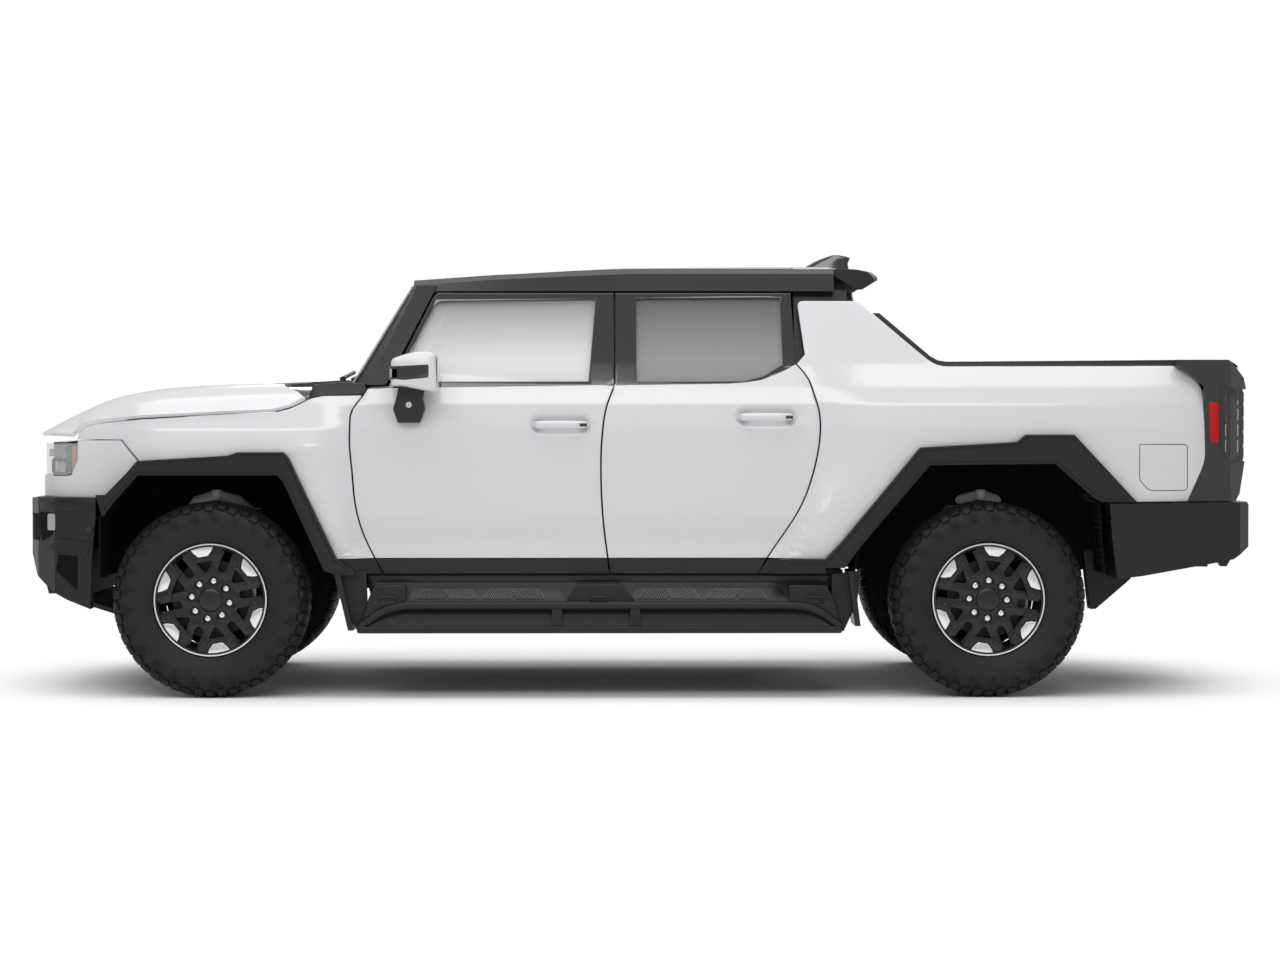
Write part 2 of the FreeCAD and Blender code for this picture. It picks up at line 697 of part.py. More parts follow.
def bumper_shape():
    outer = [(front_axle.number + dx, -y) for dx, y in BUMPER_PLAN]
    whole = [*outer, *[(x, -y) for x, y in reversed(outer[1:])]]
    face = Part.Face(wire([V(x, y, 340) for x, y in whole]))
    shell = face.extrude(V(0, 0, 546))
    hollow = face.makeOffset2D(-90, 2).extrude(V(0, 0, 546))
    shell = shell.cut(hollow)
    side = side_prism([(fx(-780), 884), (fx(-846), 876), (fx(-876), 833), (fx(-872), 768), (fx(-848), 643),
                       (fx(-800), 536), (fx(-720), 470), (fx(-640), 430), (fx(-532), 392), (fx(-525), 620),
                       (fx(-506), 800), (fx(-506), 884)], -2000, 2000)
    shell = shell.common(side)
    for side_sign in (1, -1):
        pocket = Part.makeBox(120, 190, 120, V(front_axle.number - 900, 720 if side_sign > 0 else -910, 690))
        hook_slot = Part.makeBox(220, 60, 220, V(front_axle.number - 900, 550 if side_sign > 0 else -610, 430))
        shell = shell.cut([pocket, hook_slot])
    mouth = Part.makeBox(300, 1060, 150, V(front_axle.number - 900, -530, 600))
    return shell.cut(mouth)


bumper = formed("front_bumper_form", bumper_shape())
node("front_bumper", grouped("front_bumper", bumper))
bash_plate = plate("bash_plate", "XZ_Plane",
                   [(fx(-806), 528), (fx(-660), 392), (fx(-466), 330), (fx(-380), 318), (fx(-380), 338),
                    (fx(-466), 350), (fx(-650), 412), (fx(-786), 524.1), (fx(-800), 535.6)], -520, 1040)
node("bash_plate", bash_plate)


def hook(name, x, z, side_y, forward, drop):
    rise = 639.7 - z
    points = [(x, z), (x + forward * 34, z - drop), (x + forward * 60, z - drop), (x + forward * 118, z + rise),
              (x + forward * 40, z + rise)]
    return plate(name, "XZ_Plane", points, side_y, 40)


front_hook = hook("front_hook", fx(-818), 575, 560, 1, 138)
rear_hook = hook("rear_hook", rx(1172), 616, 560, -1, 58)
node("tow_hooks", both_sides("tow_hooks", front_hook, rear_hook))


# Hood: a clamshell whose sides fold down to the fenders

HOOD_STATIONS = [
    (-808, 1160, 1148, 700), (-780, 1174, 1149, 860), (-735, 1200, 1150, 902), (-640, 1246, 1152, 962),
    (-540, 1290, 1176, 996), (-466, 1312, 1216, 1003), (-320, 1338, 1236, 1010), (72, 1367, 1257, 1016),
    (294, 1377, 1265, 1010), (390, 1381, 1303, 1000), (430, 1384, 1325, 990),
]


def hood_section(x, crown, edge, half, depth):
    """One hood section: folded edges, rounded shoulders and a slightly crowned middle."""
    shoulder = edge + (crown - edge) * 0.72
    top = [(-half, edge), (-half * 0.965, shoulder), (-half * 0.86, crown), (-half * 0.5, crown + 9),
           (half * 0.5, crown + 9), (half * 0.86, crown), (half * 0.965, shoulder), (half, edge)]
    inset = [(y * (1 - depth / half), z - depth * 0.8) for y, z in top]
    inset[0] = (top[0][0] + depth, top[0][1])
    inset[-1] = (top[-1][0] - depth, top[-1][1])
    return [V(x, y, z) for y, z in [*top, *reversed(inset)]]


def hood_shape():
    sections = [hood_section(front_axle.number + dx, crown, edge, half, 24.0)
                for dx, crown, edge, half in HOOD_STATIONS]
    solid = loft(sections)
    plan = [(front_axle.number + dx - 4, -y) for dx, y in NOSE_PLAN if dx < -500]
    plan = [(front_axle.number + 500, -1100), (front_axle.number - 560, -1100), *reversed(plan)]
    plan += [(x, -y) for x, y in reversed(plan[:-1])]
    return solid.common(Part.Face(wire([V(x, y, 1000) for x, y in plan])).extrude(V(0, 0, 600)))


node("hood", grouped("hood", formed("hood_form", hood_shape())))
insert_block = plate("insert_block", "XZ_Plane",
                     [(fx(-60), 1362), (fx(-60), 1370), (fx(40), 1392), (fx(412), 1403), (fx(416), 1386),
                      (fx(72), 1371)], -430, 860)
node("hood_insert", cut("hood_insert", insert_block, nodes["hood"]))
tub_wall = 12
frunk_outer = block("frunk_outer", (fx(-440), fx(300)), (-500, 500), (880, 1230))
frunk_space = block("frunk_space", (fx(-440 + tub_wall), fx(300 - tub_wall)),
                    (-500 + tub_wall, 500 - tub_wall), (880 + tub_wall, 1240))
node("frunk_tub", cut("frunk_tub", frunk_outer, frunk_space))


# Cowl with louvres and wipers

cowl = plate("cowl_plate", "XZ_Plane",
             [(fx(438), 1330), (fx(438), 1396), (fx(560), 1404), (fx(615.7), 1399), (fx(615.7), 1330)],
             -900, 1800)
hood_brackets = [block(f"hood_bracket_{i}", (fx(430.4), fx(438)), (y, y + 60), (1372, 1388))
                 for i, y in enumerate((-650, 590))]
node("cowl_panel", fused("cowl_panel", cowl, *hood_brackets))


def wiper(name, y_from, y_to):
    """A wiper: an arm from its spindle to a blade that lies along the glass."""
    x_spindle, z_spindle = front_axle.number + 556, 1404
    arm = Part.makeCylinder(9, math.hypot(y_to - y_from, 40), V(x_spindle, y_from, z_spindle + 12),
                            V(12, y_to - y_from, 30))
    post = Part.makeCylinder(14, 16, V(x_spindle, y_from, z_spindle + 0.1), V(0, 0, 1))
    return formed(name, arm.fuse(post))


node("wipers", grouped("wipers", wiper("wiper_a", -620, -80), wiper("wiper_b", 80, 620)))


# Windscreen, cab frame, roof

SCREEN_FOOT = (616, 1398)
SCREEN_HEAD = (876, 1832)
screen_normal = V(-(SCREEN_HEAD[1] - SCREEN_FOOT[1]), 0, SCREEN_HEAD[0] - SCREEN_FOOT[0])
screen_normal.normalize()


def screen_point(share, half, lift=0.0):
    """A point on the windscreen plane: share 0 at its foot to 1 at its head."""
    x = front_axle.number + SCREEN_FOOT[0] + (SCREEN_HEAD[0] - SCREEN_FOOT[0]) * share
    z = SCREEN_FOOT[1] + (SCREEN_HEAD[1] - SCREEN_FOOT[1]) * share
    return V(x, half, z) + screen_normal * lift


windscreen = loft([
    [screen_point(0, -842.5), screen_point(1, -716.5), screen_point(1, 716.5), screen_point(0, 842.5)],
    [screen_point(0, -842.5, -7), screen_point(1, -716.5, -7), screen_point(1, 716.5, -7),
     screen_point(0, 842.5, -7)],
])
node("windscreen", grouped("windscreen", formed("windscreen_form", windscreen)))


def strut(low, high):
    """A straight pillar between two four-cornered ends."""
    return loft([[V(*p) for p in low], [V(*p) for p in high]])


def hinge(x, y_inner, z):
    """A door hinge: a pin on its upright axis and the leaf that joins it to the post."""
    y_axis = -waist_half.number + hinge_inset.number
    pin = Part.makeCylinder(hinge_pin.number, hinge_height, V(x, y_axis, z))
    leaf = Part.makeBox(9, y_inner - y_axis, hinge_height, V(x - 1, y_axis, z))
    return pin.fuse(leaf)


def roof_edge_at(x):
    """Top of the roof rail: it falls towards the windscreen."""
    start, end = front_axle.number + 885, front_axle.number + 1850
    share = min(max((x - start) / (end - start), 0.0), 1.0)
    return roof_edge.number - 52 * (1 - share) ** 1.25


def roof_top(x, y):
    """The crowned roof: highest on the centre plane, level with its rails at the sides."""
    rise_share = min(max((x - front_axle.number - 560) / 1900, 0.0), 1.0)
    return roof_edge_at(x) + roof_crown.number * rise_share ** 0.6 * (1 - (y / 705.0) ** 2)


def roof_piece(x_places, y_places, lift, depth):
    """A crowned sheet between given places, its top a little off the roof's surface."""
    sections = []
    for x in x_places:
        top = [V(x, y, roof_top(x, y) + lift) for y in y_places]
        low = [V(x, y, roof_top(x, y) + lift - depth) for y in reversed(y_places)]
        sections.append([*top, *low])
    return loft(sections)


PANEL_DEPTH = 20.0
FRONT_PANEL_PLACES = (1030, 1230, 1430, 1620, 1802)
REAR_PANEL_PLACES = (1808, 2010, 2210, 2400, 2592)


def roof_frame():
    """Header over the windscreen, rear header, and the cross that carries the roof panels."""
    across = (-700, -525, -350, -175, 0, 175, 350, 525, 700)
    f, r = front_axle.number, rear_axle.number
    return [
        roof_piece((f + 885, f + 955, f + 1026), across, 0.0, 46),
        roof_piece((r - 848, r - 760, r - 670), across, 0.0, 82),
        roof_piece([f + dx for dx in (1020, *FRONT_PANEL_PLACES, *REAR_PANEL_PLACES, 2600)], (-55, -3, 3, 55),
                   -PANEL_DEPTH - 0.4, 44),
        roof_piece([f + dx for dx in (1750, 1802, 1808, 1860)], across, -PANEL_DEPTH - 0.9, 44),
    ]


def cab_frame_shape():
    f = front_axle.number
    r = rear_axle.number
    pillars = [
        # windscreen pillar
        strut([(f + 622, -843, 1384), (f + 690, -950, 1384), (f + 770, -950, 1384), (f + 770, -843, 1384)],
              [(f + 886, -717, 1830), (f + 904, -792, 1830), (f + 990, -792, 1830), (f + 990, -717, 1830)]),
        # post under the windscreen pillar
        strut([(f + 636, -866, 570), (f + 760, -866, 570), (f + 760, -820.3, 570), (f + 636, -820.3, 570)],
              [(f + 636, -866, 1390), (f + 760, -866, 1390), (f + 760, -820.3, 1390), (f + 636, -820.3, 1390)]),
        # middle post, lower and upper
        strut([(f + 1700, -880, 570), (f + 1850, -880, 570), (f + 1850, -820.3, 570), (f + 1700, -820.3, 570)],
              [(f + 1720, -872, 1372), (f + 1850, -872, 1372), (f + 1850, -820.3, 1372), (f + 1720, -820.3, 1372)]),
        strut([(f + 1720, -872, 1372), (f + 1850, -872, 1372), (f + 1850, -820.3, 1372), (f + 1720, -820.3, 1372)],
              [(f + 1730, -742, 1812), (f + 1850, -742, 1812), (f + 1850, -700, 1812), (f + 1730, -700, 1812)]),
        # rear post behind the rear door
        strut([(r - 800, -880, 570), (r - 640, -880, 570), (r - 640, -820.3, 570), (r - 800, -820.3, 570)],
              [(r - 800, -872, 1372), (r - 560, -872, 1372), (r - 560, -820.3, 1372), (r - 800, -820.3, 1372)]),
        strut([(r - 850, -872, 1372), (r - 600, -872, 1372), (r - 600, -820.3, 1372), (r - 850, -820.3, 1372)],
              [(r - 850, -742, 1812), (r - 610, -742, 1812), (r - 610, -690, 1812), (r - 850, -690, 1812)]),
    ]
    sill = Part.makeBox(r - 640 - f - 650, 129.7, 80, V(f + 650, -950, 480))
    hinges = [hinge(f + front_hinge_x.number, -860, z) for z in HINGE_HEIGHTS]
    hinges += [hinge(f + rear_hinge_x.number, -870, z) for z in HINGE_HEIGHTS]
    rail_section = [(-798, 1806), (-770, 1884), (-700, 1908), (-660, 1900), (-660, 1806)]
    rail = loft([
        [V(f + 885, y, z - 52 if z > 1850 else z) for y, z in rail_section],
        [V(f + 1250, y, z - 26 if z > 1850 else z) for y, z in rail_section],
        [V(f + 1850, y, z) for y, z in rail_section],
        [V(r - 670, y, z) for y, z in rail_section],
    ])
    left = rail.fuse([sill, *pillars, *hinges])
    right = left.mirror(V(0, 0, 0), V(0, 1, 0))
    return left.fuse([right, *roof_frame()]).removeSplitter()


node("cab_frame", grouped("cab_frame", formed("cab_frame_form", cab_frame_shape())))

floor_plate = block("floor_plate", (fx(650), rx(-640)), (-820, 820), (floor_height - 30, floor_height))
firewall = block("firewall", (fx(610), fx(650)), (-820, 820), (floor_height - 30, 1330))
rear_floor = block("rear_floor", (rx(-640), rx(-500)), (-665, 665), (floor_height - 30, floor_height))
rear_wall_low = block("rear_wall_low", (rx(-560), rx(-500)), (-665, 665), (floor_height - 30, 920))
rear_wall_high = block("rear_wall_high", (rx(-560), rx(-500)), (-820, 820), (920, 1470))
cab_floor = fused("cab_floor", floor_plate, firewall, rear_floor, rear_wall_low, rear_wall_high)
node("cab_floor", cab_floor)



def rear_glass_shape():
    """The cab's flat back window, leaning forwards and narrower at its head."""
    r = rear_axle.number
    sections = []
    for shift in (0, 6):
        sections.append([V(r - 540 + shift, -855, 1470.3), V(r - 592 + shift, -742, 1805),
                         V(r - 592 + shift, 742, 1805), V(r - 540 + shift, 855, 1470.3)])
    return loft(sections)


node("rear_glass", grouped("rear_glass", formed("rear_glass_form", rear_glass_shape())))


# Roof: four lift-out panels of glass over the frame, then the tail spoiler and fin

def roof_panels_shape():
    panels = []
    for index, offsets in enumerate((FRONT_PANEL_PLACES, REAR_PANEL_PLACES)):
        places = [front_axle.number + dx for dx in offsets]
        for side, across in {"left": (-659.7, -525, -350, -175, -3), "right": (3, 175, 350, 525, 659.7)}.items():
            panels.append(formed(f"roof_panel_{index}_{side}", roof_piece(places, across, 0.0, PANEL_DEPTH - 0.2)))
    return panels


node("roof_panels", grouped("roof_panels", *roof_panels_shape()))


def spoiler_section(y):
    """The spoiler's side section, lower towards its ends with the roof's crown."""
    r = rear_axle.number
    drop = roof_crown.number * (y / 705.0) ** 2
    profile = [(-669.6, 1903), (-669.6, 1937), (-540, 1931), (-458, 1918), (-423, 1884), (-512, 1834), (-600, 1864)]
    return [V(r + dx, y, z - drop) for dx, z in profile]


def spoiler_shape():
    """A crowned blade with a fin that stands on it and on the roof ahead of it."""
    blade = loft([spoiler_section(y) for y in (-760, -640, -480, -320, -160, 0, 160, 320, 480, 640, 760)])
    r = rear_axle.number
    foot = [(-762, 1938), (-740, 1952), (-700, 1974), (-660, 1991), (-618, 2001), (-560, 1996), (-540, 1990),
            (-556, 1960), (-546, 1925), (-660, 1925), (-669.6, 1938)]
    fin = loft([[V(r + dx, y, z) for dx, z in foot] for y in (-14, 14)])
    fin = fin.makeFillet(5, [e for e in fin.Edges if e.BoundBox.YLength < 0.1 and e.BoundBox.ZMin > 1937])
    return blade.fuse(fin).removeSplitter()


node("roof_spoiler", grouped("roof_spoiler", formed("spoiler_form", spoiler_shape())))


# Cabin: dashboard with wheel, seats

dash = plate("dash_plate", "XZ_Plane",
             [(fx(650.3), 1000), (fx(650.3), 1340), (fx(760), 1372), (fx(900), 1330), (fx(930), 1200),
              (fx(860), 1040)], -800, 1600)
console = block("console", (fx(930), fx(1560)), (-150, 150), (floor_height, 940))
node("dashboard", fused("dashboard", dash, console))


def steering_wheel_shape():
    centre = V(front_axle.number + 1010, -400, 1255)
    tilt = V(0.86, 0, 0.5)
    section = [V(180 + 15 * math.cos(a), 0, 17 * math.sin(a)) for a in (math.radians(45 * i) for i in range(8))]
    rim = Part.Face(wire(section)).revolve(V(), V(0, 0, 1), 360)
    rim.Placement = FreeCAD.Placement(centre, FreeCAD.Rotation(V(0, 0, 1), tilt))
    boss = Part.makeCylinder(52, 34, centre - tilt * 20, tilt)
    column = Part.makeCylinder(26, 150, centre - tilt * 130, tilt)
    spokes = []
    for y in (-1, 1):
        spokes.append(Part.makeCylinder(13, 172, centre, V(0, y, 0)))
    spokes.append(Part.makeCylinder(13, 172, centre, V(0.5, 0, -0.86)))
    return rim.fuse([boss, column, *spokes])


steering_form = formed("steering_wheel_form", steering_wheel_shape())
node("steering_wheel", cut("steering_wheel", steering_form, nodes["dashboard"]))


def seat(name, x, y, half, back_x, back_top):
    """A seat as one profile: cushion, leaning back and headrest."""
    return plate(name, "XZ_Plane",
                 [(x, floor_height), (x, 900), (x + 20, 950), (x + 470, 930), (back_x, back_top - 190),
                  (back_x + 22, back_top - 170), (back_x + 30, back_top), (back_x + 110, back_top - 8),
                  (back_x + 118, back_top - 170), (back_x + 130, back_top - 200), (x + 620, 880),
                  (x + 600, floor_height)], y - half, 2 * half)


front_seat = seat("front_seat", fx(1090), 430, 250, fx(1640), 1640)
rear_bench = seat("rear_bench", rx(-1290), 0, 690, rx(-760), 1600)
front_seat_right = mirrored("front_seat_right", front_seat)
node("seats", grouped("seats", front_seat, front_seat_right, rear_bench))


# Bed: liner, rail caps, tailgate, lamps, bumper

def bed_liner_shape():
    r = rear_axle.number
    wall = bed_wall.number
    half = bed_inner_half.number
    floor_z = bed_floor_height.number
    front_x, rear_x = r - 466, r + 1050
    length = rear_x - front_x
    base = Part.makeBox(length, 2 * half + 2 * wall, wall, V(front_x, -half - wall, floor_z - wall))
    front = Part.makeBox(wall, 2 * half + 2 * wall, 1455 - floor_z, V(front_x, -half - wall, floor_z))
    pieces = [front]
    for y in (-half - wall, half):
        pieces.append(Part.makeBox(length, wall, 1455 - floor_z, V(front_x, y, floor_z)))
    liner = base.fuse(pieces)
    for sign in (-1, 1):
        box_y = -half - wall if sign < 0 else 640
        house = Part.makeBox(906, half + wall - 640, 150, V(r - 460, box_y, floor_z))
        hollow_y = -half - wall - 1 if sign < 0 else 672
        hollow = Part.makeBox(886, half + wall - 671, 157, V(r - 443, hollow_y, floor_z - wall - 1))
        liner = liner.fuse(house).cut(hollow)
    anchors = [Part.makeCylinder(5.5, 60, V(r + x, y, floor_z - 40)) for x in (-250, 850) for y in (-560, 560)]
    return liner.cut(anchors).removeSplitter()


node("bed_liner", grouped("bed_liner", formed("bed_liner_form", bed_liner_shape())))


def rail_cap_shape():
    """Black cap on the bed wall that climbs the sail to the roof."""
    r = rear_axle.number
    top = [(r - 548, 1775), (r - 330, 1584), (r - 250, 1514), (r - 216, 1494), (r - 180, 1488),
           (r + 500, 1493), (r + 840, 1496)]
    low = [(r + dx, z) for dx, z in reversed(SAIL_LINE)]
    band = side_prism([*top, *low], -1000, -bed_inner_half.number + 10)
    keep = side_slab(lambda half, z: half - 160)
    return band.common(keep)


node("rail_caps", both_sides("rail_caps", formed("rail_cap_form", rail_cap_shape())))

gate_x = rx(1163)
tailgate = plate("tailgate_plate", "XZ_Plane",
                 [(gate_x - tailgate_depth, 900), (gate_x - 6, 900), (gate_x, 920), (gate_x, 1380),
                  (gate_x - 20, 1478), (gate_x - 44, 1493), (gate_x - tailgate_depth, 1493)],
                 -tailgate_half, tailgate_half * 2)
node("tailgate", tailgate)

TAIL_OUTLINE = [(960, 1377), (902, 1434), (840, 1469), (840, 1496), (1072, 1496), (1104, 1467), (1150, 1416),
                (1162, 1366), (1154, 1032), (1130, 900), (1110, 868), (884, 867), (968, 1047)]


def tail_post_shape():
    """Black post behind the bed side that carries the tail lamps."""
    r = rear_axle.number
    outer_side, inner_side = -1000, -tailgate_half.number - 6
    post = side_prism([(r + dx, z) for dx, z in TAIL_OUTLINE], outer_side, inner_side)
    bed_room = Part.makeBox(300, 200, 800, V(r + 756, -877, 800))
    lamp = Part.makeBox(90, 120, 320, V(r + 1085, -960, 1045))
    pin = Part.makeCylinder(8, 12, V(r + 1113.5, inner_side - 6.3, 930), V(0, 1, 0))
    return post.cut([tail_corner(), bed_room, lamp]).fuse(pin)


def tail_corner():
    """The wedge that bevels the vehicle's rear corner in plan."""
    r = rear_axle.number
    return loft([[V(r + 1080, -1001, z), V(r + 1200, -1001, z), V(r + 1200, -900, z)] for z in (800, 1600)])


node("tail_posts", both_sides("tail_posts", formed("tail_post_form", tail_post_shape())))


def tail_lamp_shape():
    lamp = Part.makeBox(72, 119.4, 319.4, V(rear_axle.number + 1085.3, -959.7, 1045.3))
    return lamp.cut(tail_corner())


node("tail_lamps", both_sides("tail_lamps", formed("tail_lamp_form", tail_lamp_shape())))

REAR_BUMPER_PLAN = [(1187, 0), (1187, 860), (1170, 960), (1120, 1030), (1000, 1062), (534, 1082)]


def rear_bumper_shape():
    outer = [(rear_axle.number + dx, -y) for dx, y in REAR_BUMPER_PLAN]
    whole = [*outer, *[(x, -y) for x, y in reversed(outer[1:])]]
    face = Part.Face(wire([V(x, y, 500) for x, y in whole]))
    shell = face.extrude(V(0, 0, 366))
    hollow = face.makeOffset2D(-95, 2).extrude(V(0, 0, 366))
    side = side_prism([(rx(534), 858), (rx(1160), 864), (rx(1187), 830), (rx(1170), 663), (rx(1090), 610),
                       (rx(676), 537), (rx(568), 525), (rx(545), 700)], -2000, 2000)
    plate_pocket = Part.makeBox(40, 340, 130, V(rear_axle.number + 1160, -170, 690))
    hook_slots = [Part.makeBox(260, 60, 210, V(rear_axle.number + 1000, y, 500)) for y in (-610, 550)]
    return shell.cut(hollow).common(side).cut([plate_pocket, *hook_slots])


node("rear_bumper", grouped("rear_bumper", formed("rear_bumper_form", rear_bumper_shape())))


# Side steps and rockers

def step_shape():
    """A side step: rocker panel, tray and the bowed tube along it."""
    f = front_axle.number
    r = rear_axle.number
    x_front, x_rear = f + 652, r - 648
    reach = step_reach.number
    rocker = loft([
        [V(f + 700, -950.3, 536), V(f + 700, -1000, 536), V(f + 700, -1010, 420), V(f + 700, -950.3, 350)],
        [V(r - 650, -950.3, 536), V(r - 650, -1000, 536), V(r - 650, -1010, 420), V(r - 650, -950.3, 350)],
    ])
    tray = loft([
        [V(x_front + 60, -1000, 420), V(x_front + 60, -1000, 300), V(x_front, -reach, 288),
         V(x_front, -reach, 318)],
        [V(x_rear - 60, -1000, 420), V(x_rear - 60, -1000, 300), V(x_rear, -reach, 288), V(x_rear, -reach, 318)],
    ])
    tube = Part.makeCylinder(26, x_rear - x_front - 340, V(x_front + 170, -reach + 10, 408), V(1, 0, 0))
    legs = []
    for x_low, x_high in ((x_front + 20, x_front + 170), (x_rear - 20, x_rear - 170)):
        direction = V(x_high - x_low, 0, 90)
        legs.append(Part.makeCylinder(24, direction.Length, V(x_low, -reach + 10, 318), direction))
    middle = Part.makeBox(200, 96, 110, V((x_front + x_rear) / 2 - 100, -reach + 14, 312))
    return rocker.fuse([tray, tube, *legs, middle])


node("side_steps", both_sides("side_steps", formed("step_form", step_shape())))


# Chassis: battery, drive units, subframes with arms, knuckles

battery_top = floor_height - 30.3
battery = block("battery", (fx(700), rx(-700)), (-760, 760), (battery_top - battery_height, battery_top))
node("battery_case", battery)

hub_z = tyre_radius
tyre_y = wheel_track / 2
kingpin_y = tyre_y - kingpin_inset


def drive_unit(name, axle):
    return block(name, (axle - 210, axle + 210), (-300, 300), (hub_z - 130, hub_z + 190))


drive_parts = []
for name, axle in {"front": front_axle, "rear": rear_axle}.items():
    drive_parts.append(drive_unit(f"{name}_drive", axle))
    for side_name, side_sign in {"left": -1, "right": 1}.items():
        start_y = -(kingpin_y - 20) if side_sign < 0 else size_of(299)
        shaft_length = kingpin_y - 20 - 299
        drive_parts.append(rod(f"{name}_{side_name}_shaft", axle, start_y, hub_z, "Y", 22, shaft_length))
front_drive = fused("front_drive_line", *drive_parts[:3])
rear_drive = fused("rear_drive_line", *drive_parts[3:])
node("drive_units", grouped("drive_units", front_drive, rear_drive))


def suspension(name, axle, beam_shift):
    """A subframe with upper and lower arms that reach to the ball joints, and strut towers."""
    beam_low = block(f"{name}_beam_low", (axle - 250, axle + 250), (-330, 330), (hub_z - 175, hub_z - 135))
    beams = [beam_low]
    for side_sign in (-1, 1):
        for level, thickness in ((1, 34), (-1, 34)):
            z = hub_z + level * (joint_rise + hub_gap)
            z_low = z if level > 0 else z - thickness
            inner = 300 if level > 0 else 325
            y_span = (-kingpin_y - 24, -inner) if side_sign < 0 else (inner, kingpin_y + 24)
            beams.append(block(f"{name}_arm_{level}_{side_sign}", (axle - arm_width / 2, axle + arm_width / 2),
                               y_span, (z_low, z_low + thickness)))
        tower_y = (-420, -300) if side_sign < 0 else (300, 420)
        beams.append(block(f"{name}_tower_low_{side_sign}", (axle - 120, axle + 120), tower_y,
                           (hub_z - 175, hub_z - 40)))
        beams.append(block(f"{name}_tower_{side_sign}", (axle - 120, axle + 120), tower_y,
                           (hub_z + 40, hub_z + 330)))
        spring_x, spring_y, spring_radius = axle + 86, 560 * side_sign, 55
        foot = hub_z - joint_rise - hub_gap
        seat_y = (spring_y - 60, spring_y + 60)
        beams.append(block(f"{name}_seat_{side_sign}", (axle + 20, axle + 146), seat_y, (foot - 34, foot)))
        beams.append(rod(f"{name}_spring_{side_sign}", spring_x, spring_y, foot - 1, "Z", spring_radius,
                         hub_z + 331 - foot))
        hat_y = (-620, -300) if side_sign < 0 else (300, 620)
        beams.append(block(f"{name}_hat_{side_sign}", (axle - 120, axle + 146), hat_y,
                           (hub_z + 329, hub_z + 356)))
    return fused(name, *beams)


node("front_suspension", suspension("front_suspension", front_axle, 0))
node("rear_suspension", suspension("rear_suspension", rear_axle, 0))


def knuckle(name, axle, side_sign):
    """An upright: bearing ring round the half shaft with a post up and down to the ball joints."""
    ring_length, ring_radius, bore_radius, post_radius = 70, 96, 64, 30
    ring_y = -kingpin_y - 35 if side_sign < 0 else kingpin_y - 35
    middle_y = -kingpin_y if side_sign < 0 else kingpin_y
    ring = rod(f"{name}_ring", axle, ring_y, hub_z, "Y", ring_radius, ring_length)
    top = rod(f"{name}_top", axle, middle_y, hub_z + 80, "Z", post_radius, joint_rise - 80)
    low = rod(f"{name}_low", axle, middle_y, hub_z - joint_rise, "Z", post_radius, joint_rise - 80)
    caliper = block(f"{name}_caliper", (axle + 84, axle + 190), (ring_y + 8, ring_y + 62),
                    (hub_z - 70, hub_z + 70))
    bore = rod(f"{name}_bore", axle, ring_y - 1, hub_z, "Y", bore_radius, ring_length + 2)
    return cut(name, fused(f"{name}_body", ring, top, low, caliper), bore)


for end_name, axle in {"front": front_axle, "rear": rear_axle}.items():
    for side_name, side_sign in {"left": -1, "right": 1}.items():
        node(f"knuckle_{end_name}_{side_name}", knuckle(f"knuckle_{end_name}_{side_name}", axle, side_sign))


# Wheels

LUG_COUNT = 22
LUG_SHARE = 0.6


def plain_ring(y, radius):
    """A ring in section with one flat to each lug, its corners in the middle of the gaps."""
    corner = radius / math.cos(math.pi / LUG_COUNT)
    pitch = 2 * math.pi / LUG_COUNT
    return [V(corner * math.sin((i + 0.5) * pitch), y, corner * math.cos((i + 0.5) * pitch))
            for i in range(LUG_COUNT)]


def lug_ring(y, tip, gap):
    """A ring in section through the lugs: their flat tops at the tip, the floor between them a gap lower."""
    pitch = 2 * math.pi / LUG_COUNT
    half_lug = LUG_SHARE * pitch / 2
    corners = []
    for index in range(LUG_COUNT):
        for turn, radius in ((-half_lug, tip - gap), (-half_lug, tip), (half_lug, tip), (half_lug, tip - gap)):
            reach = radius / math.cos(half_lug)
            corners.append(V(reach * math.sin(index * pitch + turn), y, reach * math.cos(index * pitch + turn)))
    return corners


def band_between(ring, next_ring):
    """Flat faces that join two rings with the same number of corners."""
    count = len(ring)
    return [Part.Face(wire([ring[i], ring[(i + 1) % count], next_ring[(i + 1) % count], next_ring[i]]))
            for i in range(count)]


def wall_between(inner, outer):
    """The flat sidewall ring that lies in one plane across the axle."""
    return Part.Face([wire(outer), wire(list(reversed(inner)))])


def tyre_shape():
    """An off-road tyre about the Y axis: lugs across the tread, sunk beads and an open bore."""
    half = tyre_width.number / 2
    bead = rim_width.number / 2 - 9.6
    rim, tip, gap = rim_radius.number, tyre_radius.number, tread_depth.number

    def side_faces(sign):
        plain = [plain_ring(sign * bead, rim - 14.5), plain_ring(sign * bead, rim + 2),
                 plain_ring(sign * (bead + 14), rim + 14), plain_ring(sign * half, rim + 84)]
        lugs = [lug_ring(sign * half, tip - 70, 0.5), lug_ring(sign * (half - 10), tip - 44, gap),
                lug_ring(sign * (half - 42), tip, gap)]
        faces = [wall_between(plain[0], plain[1]), wall_between(plain[3], lugs[0])]
        for ring, next_ring in (plain[1:3], plain[2:4], lugs[0:2], lugs[1:3]):
            faces += band_between(ring, next_ring)
        return faces, plain[0], lugs[-1]

    near, near_bore, near_tread = side_faces(-1)
    far, far_bore, far_tread = side_faces(1)
    shell = Part.Shell([*near, *far, *band_between(near_tread, far_tread), *band_between(near_bore, far_bore)])
    tyre = Part.Solid(shell)
    if tyre.Volume < 0:
        tyre.reverse()
    return tyre


tyre_form = tyre_shape()


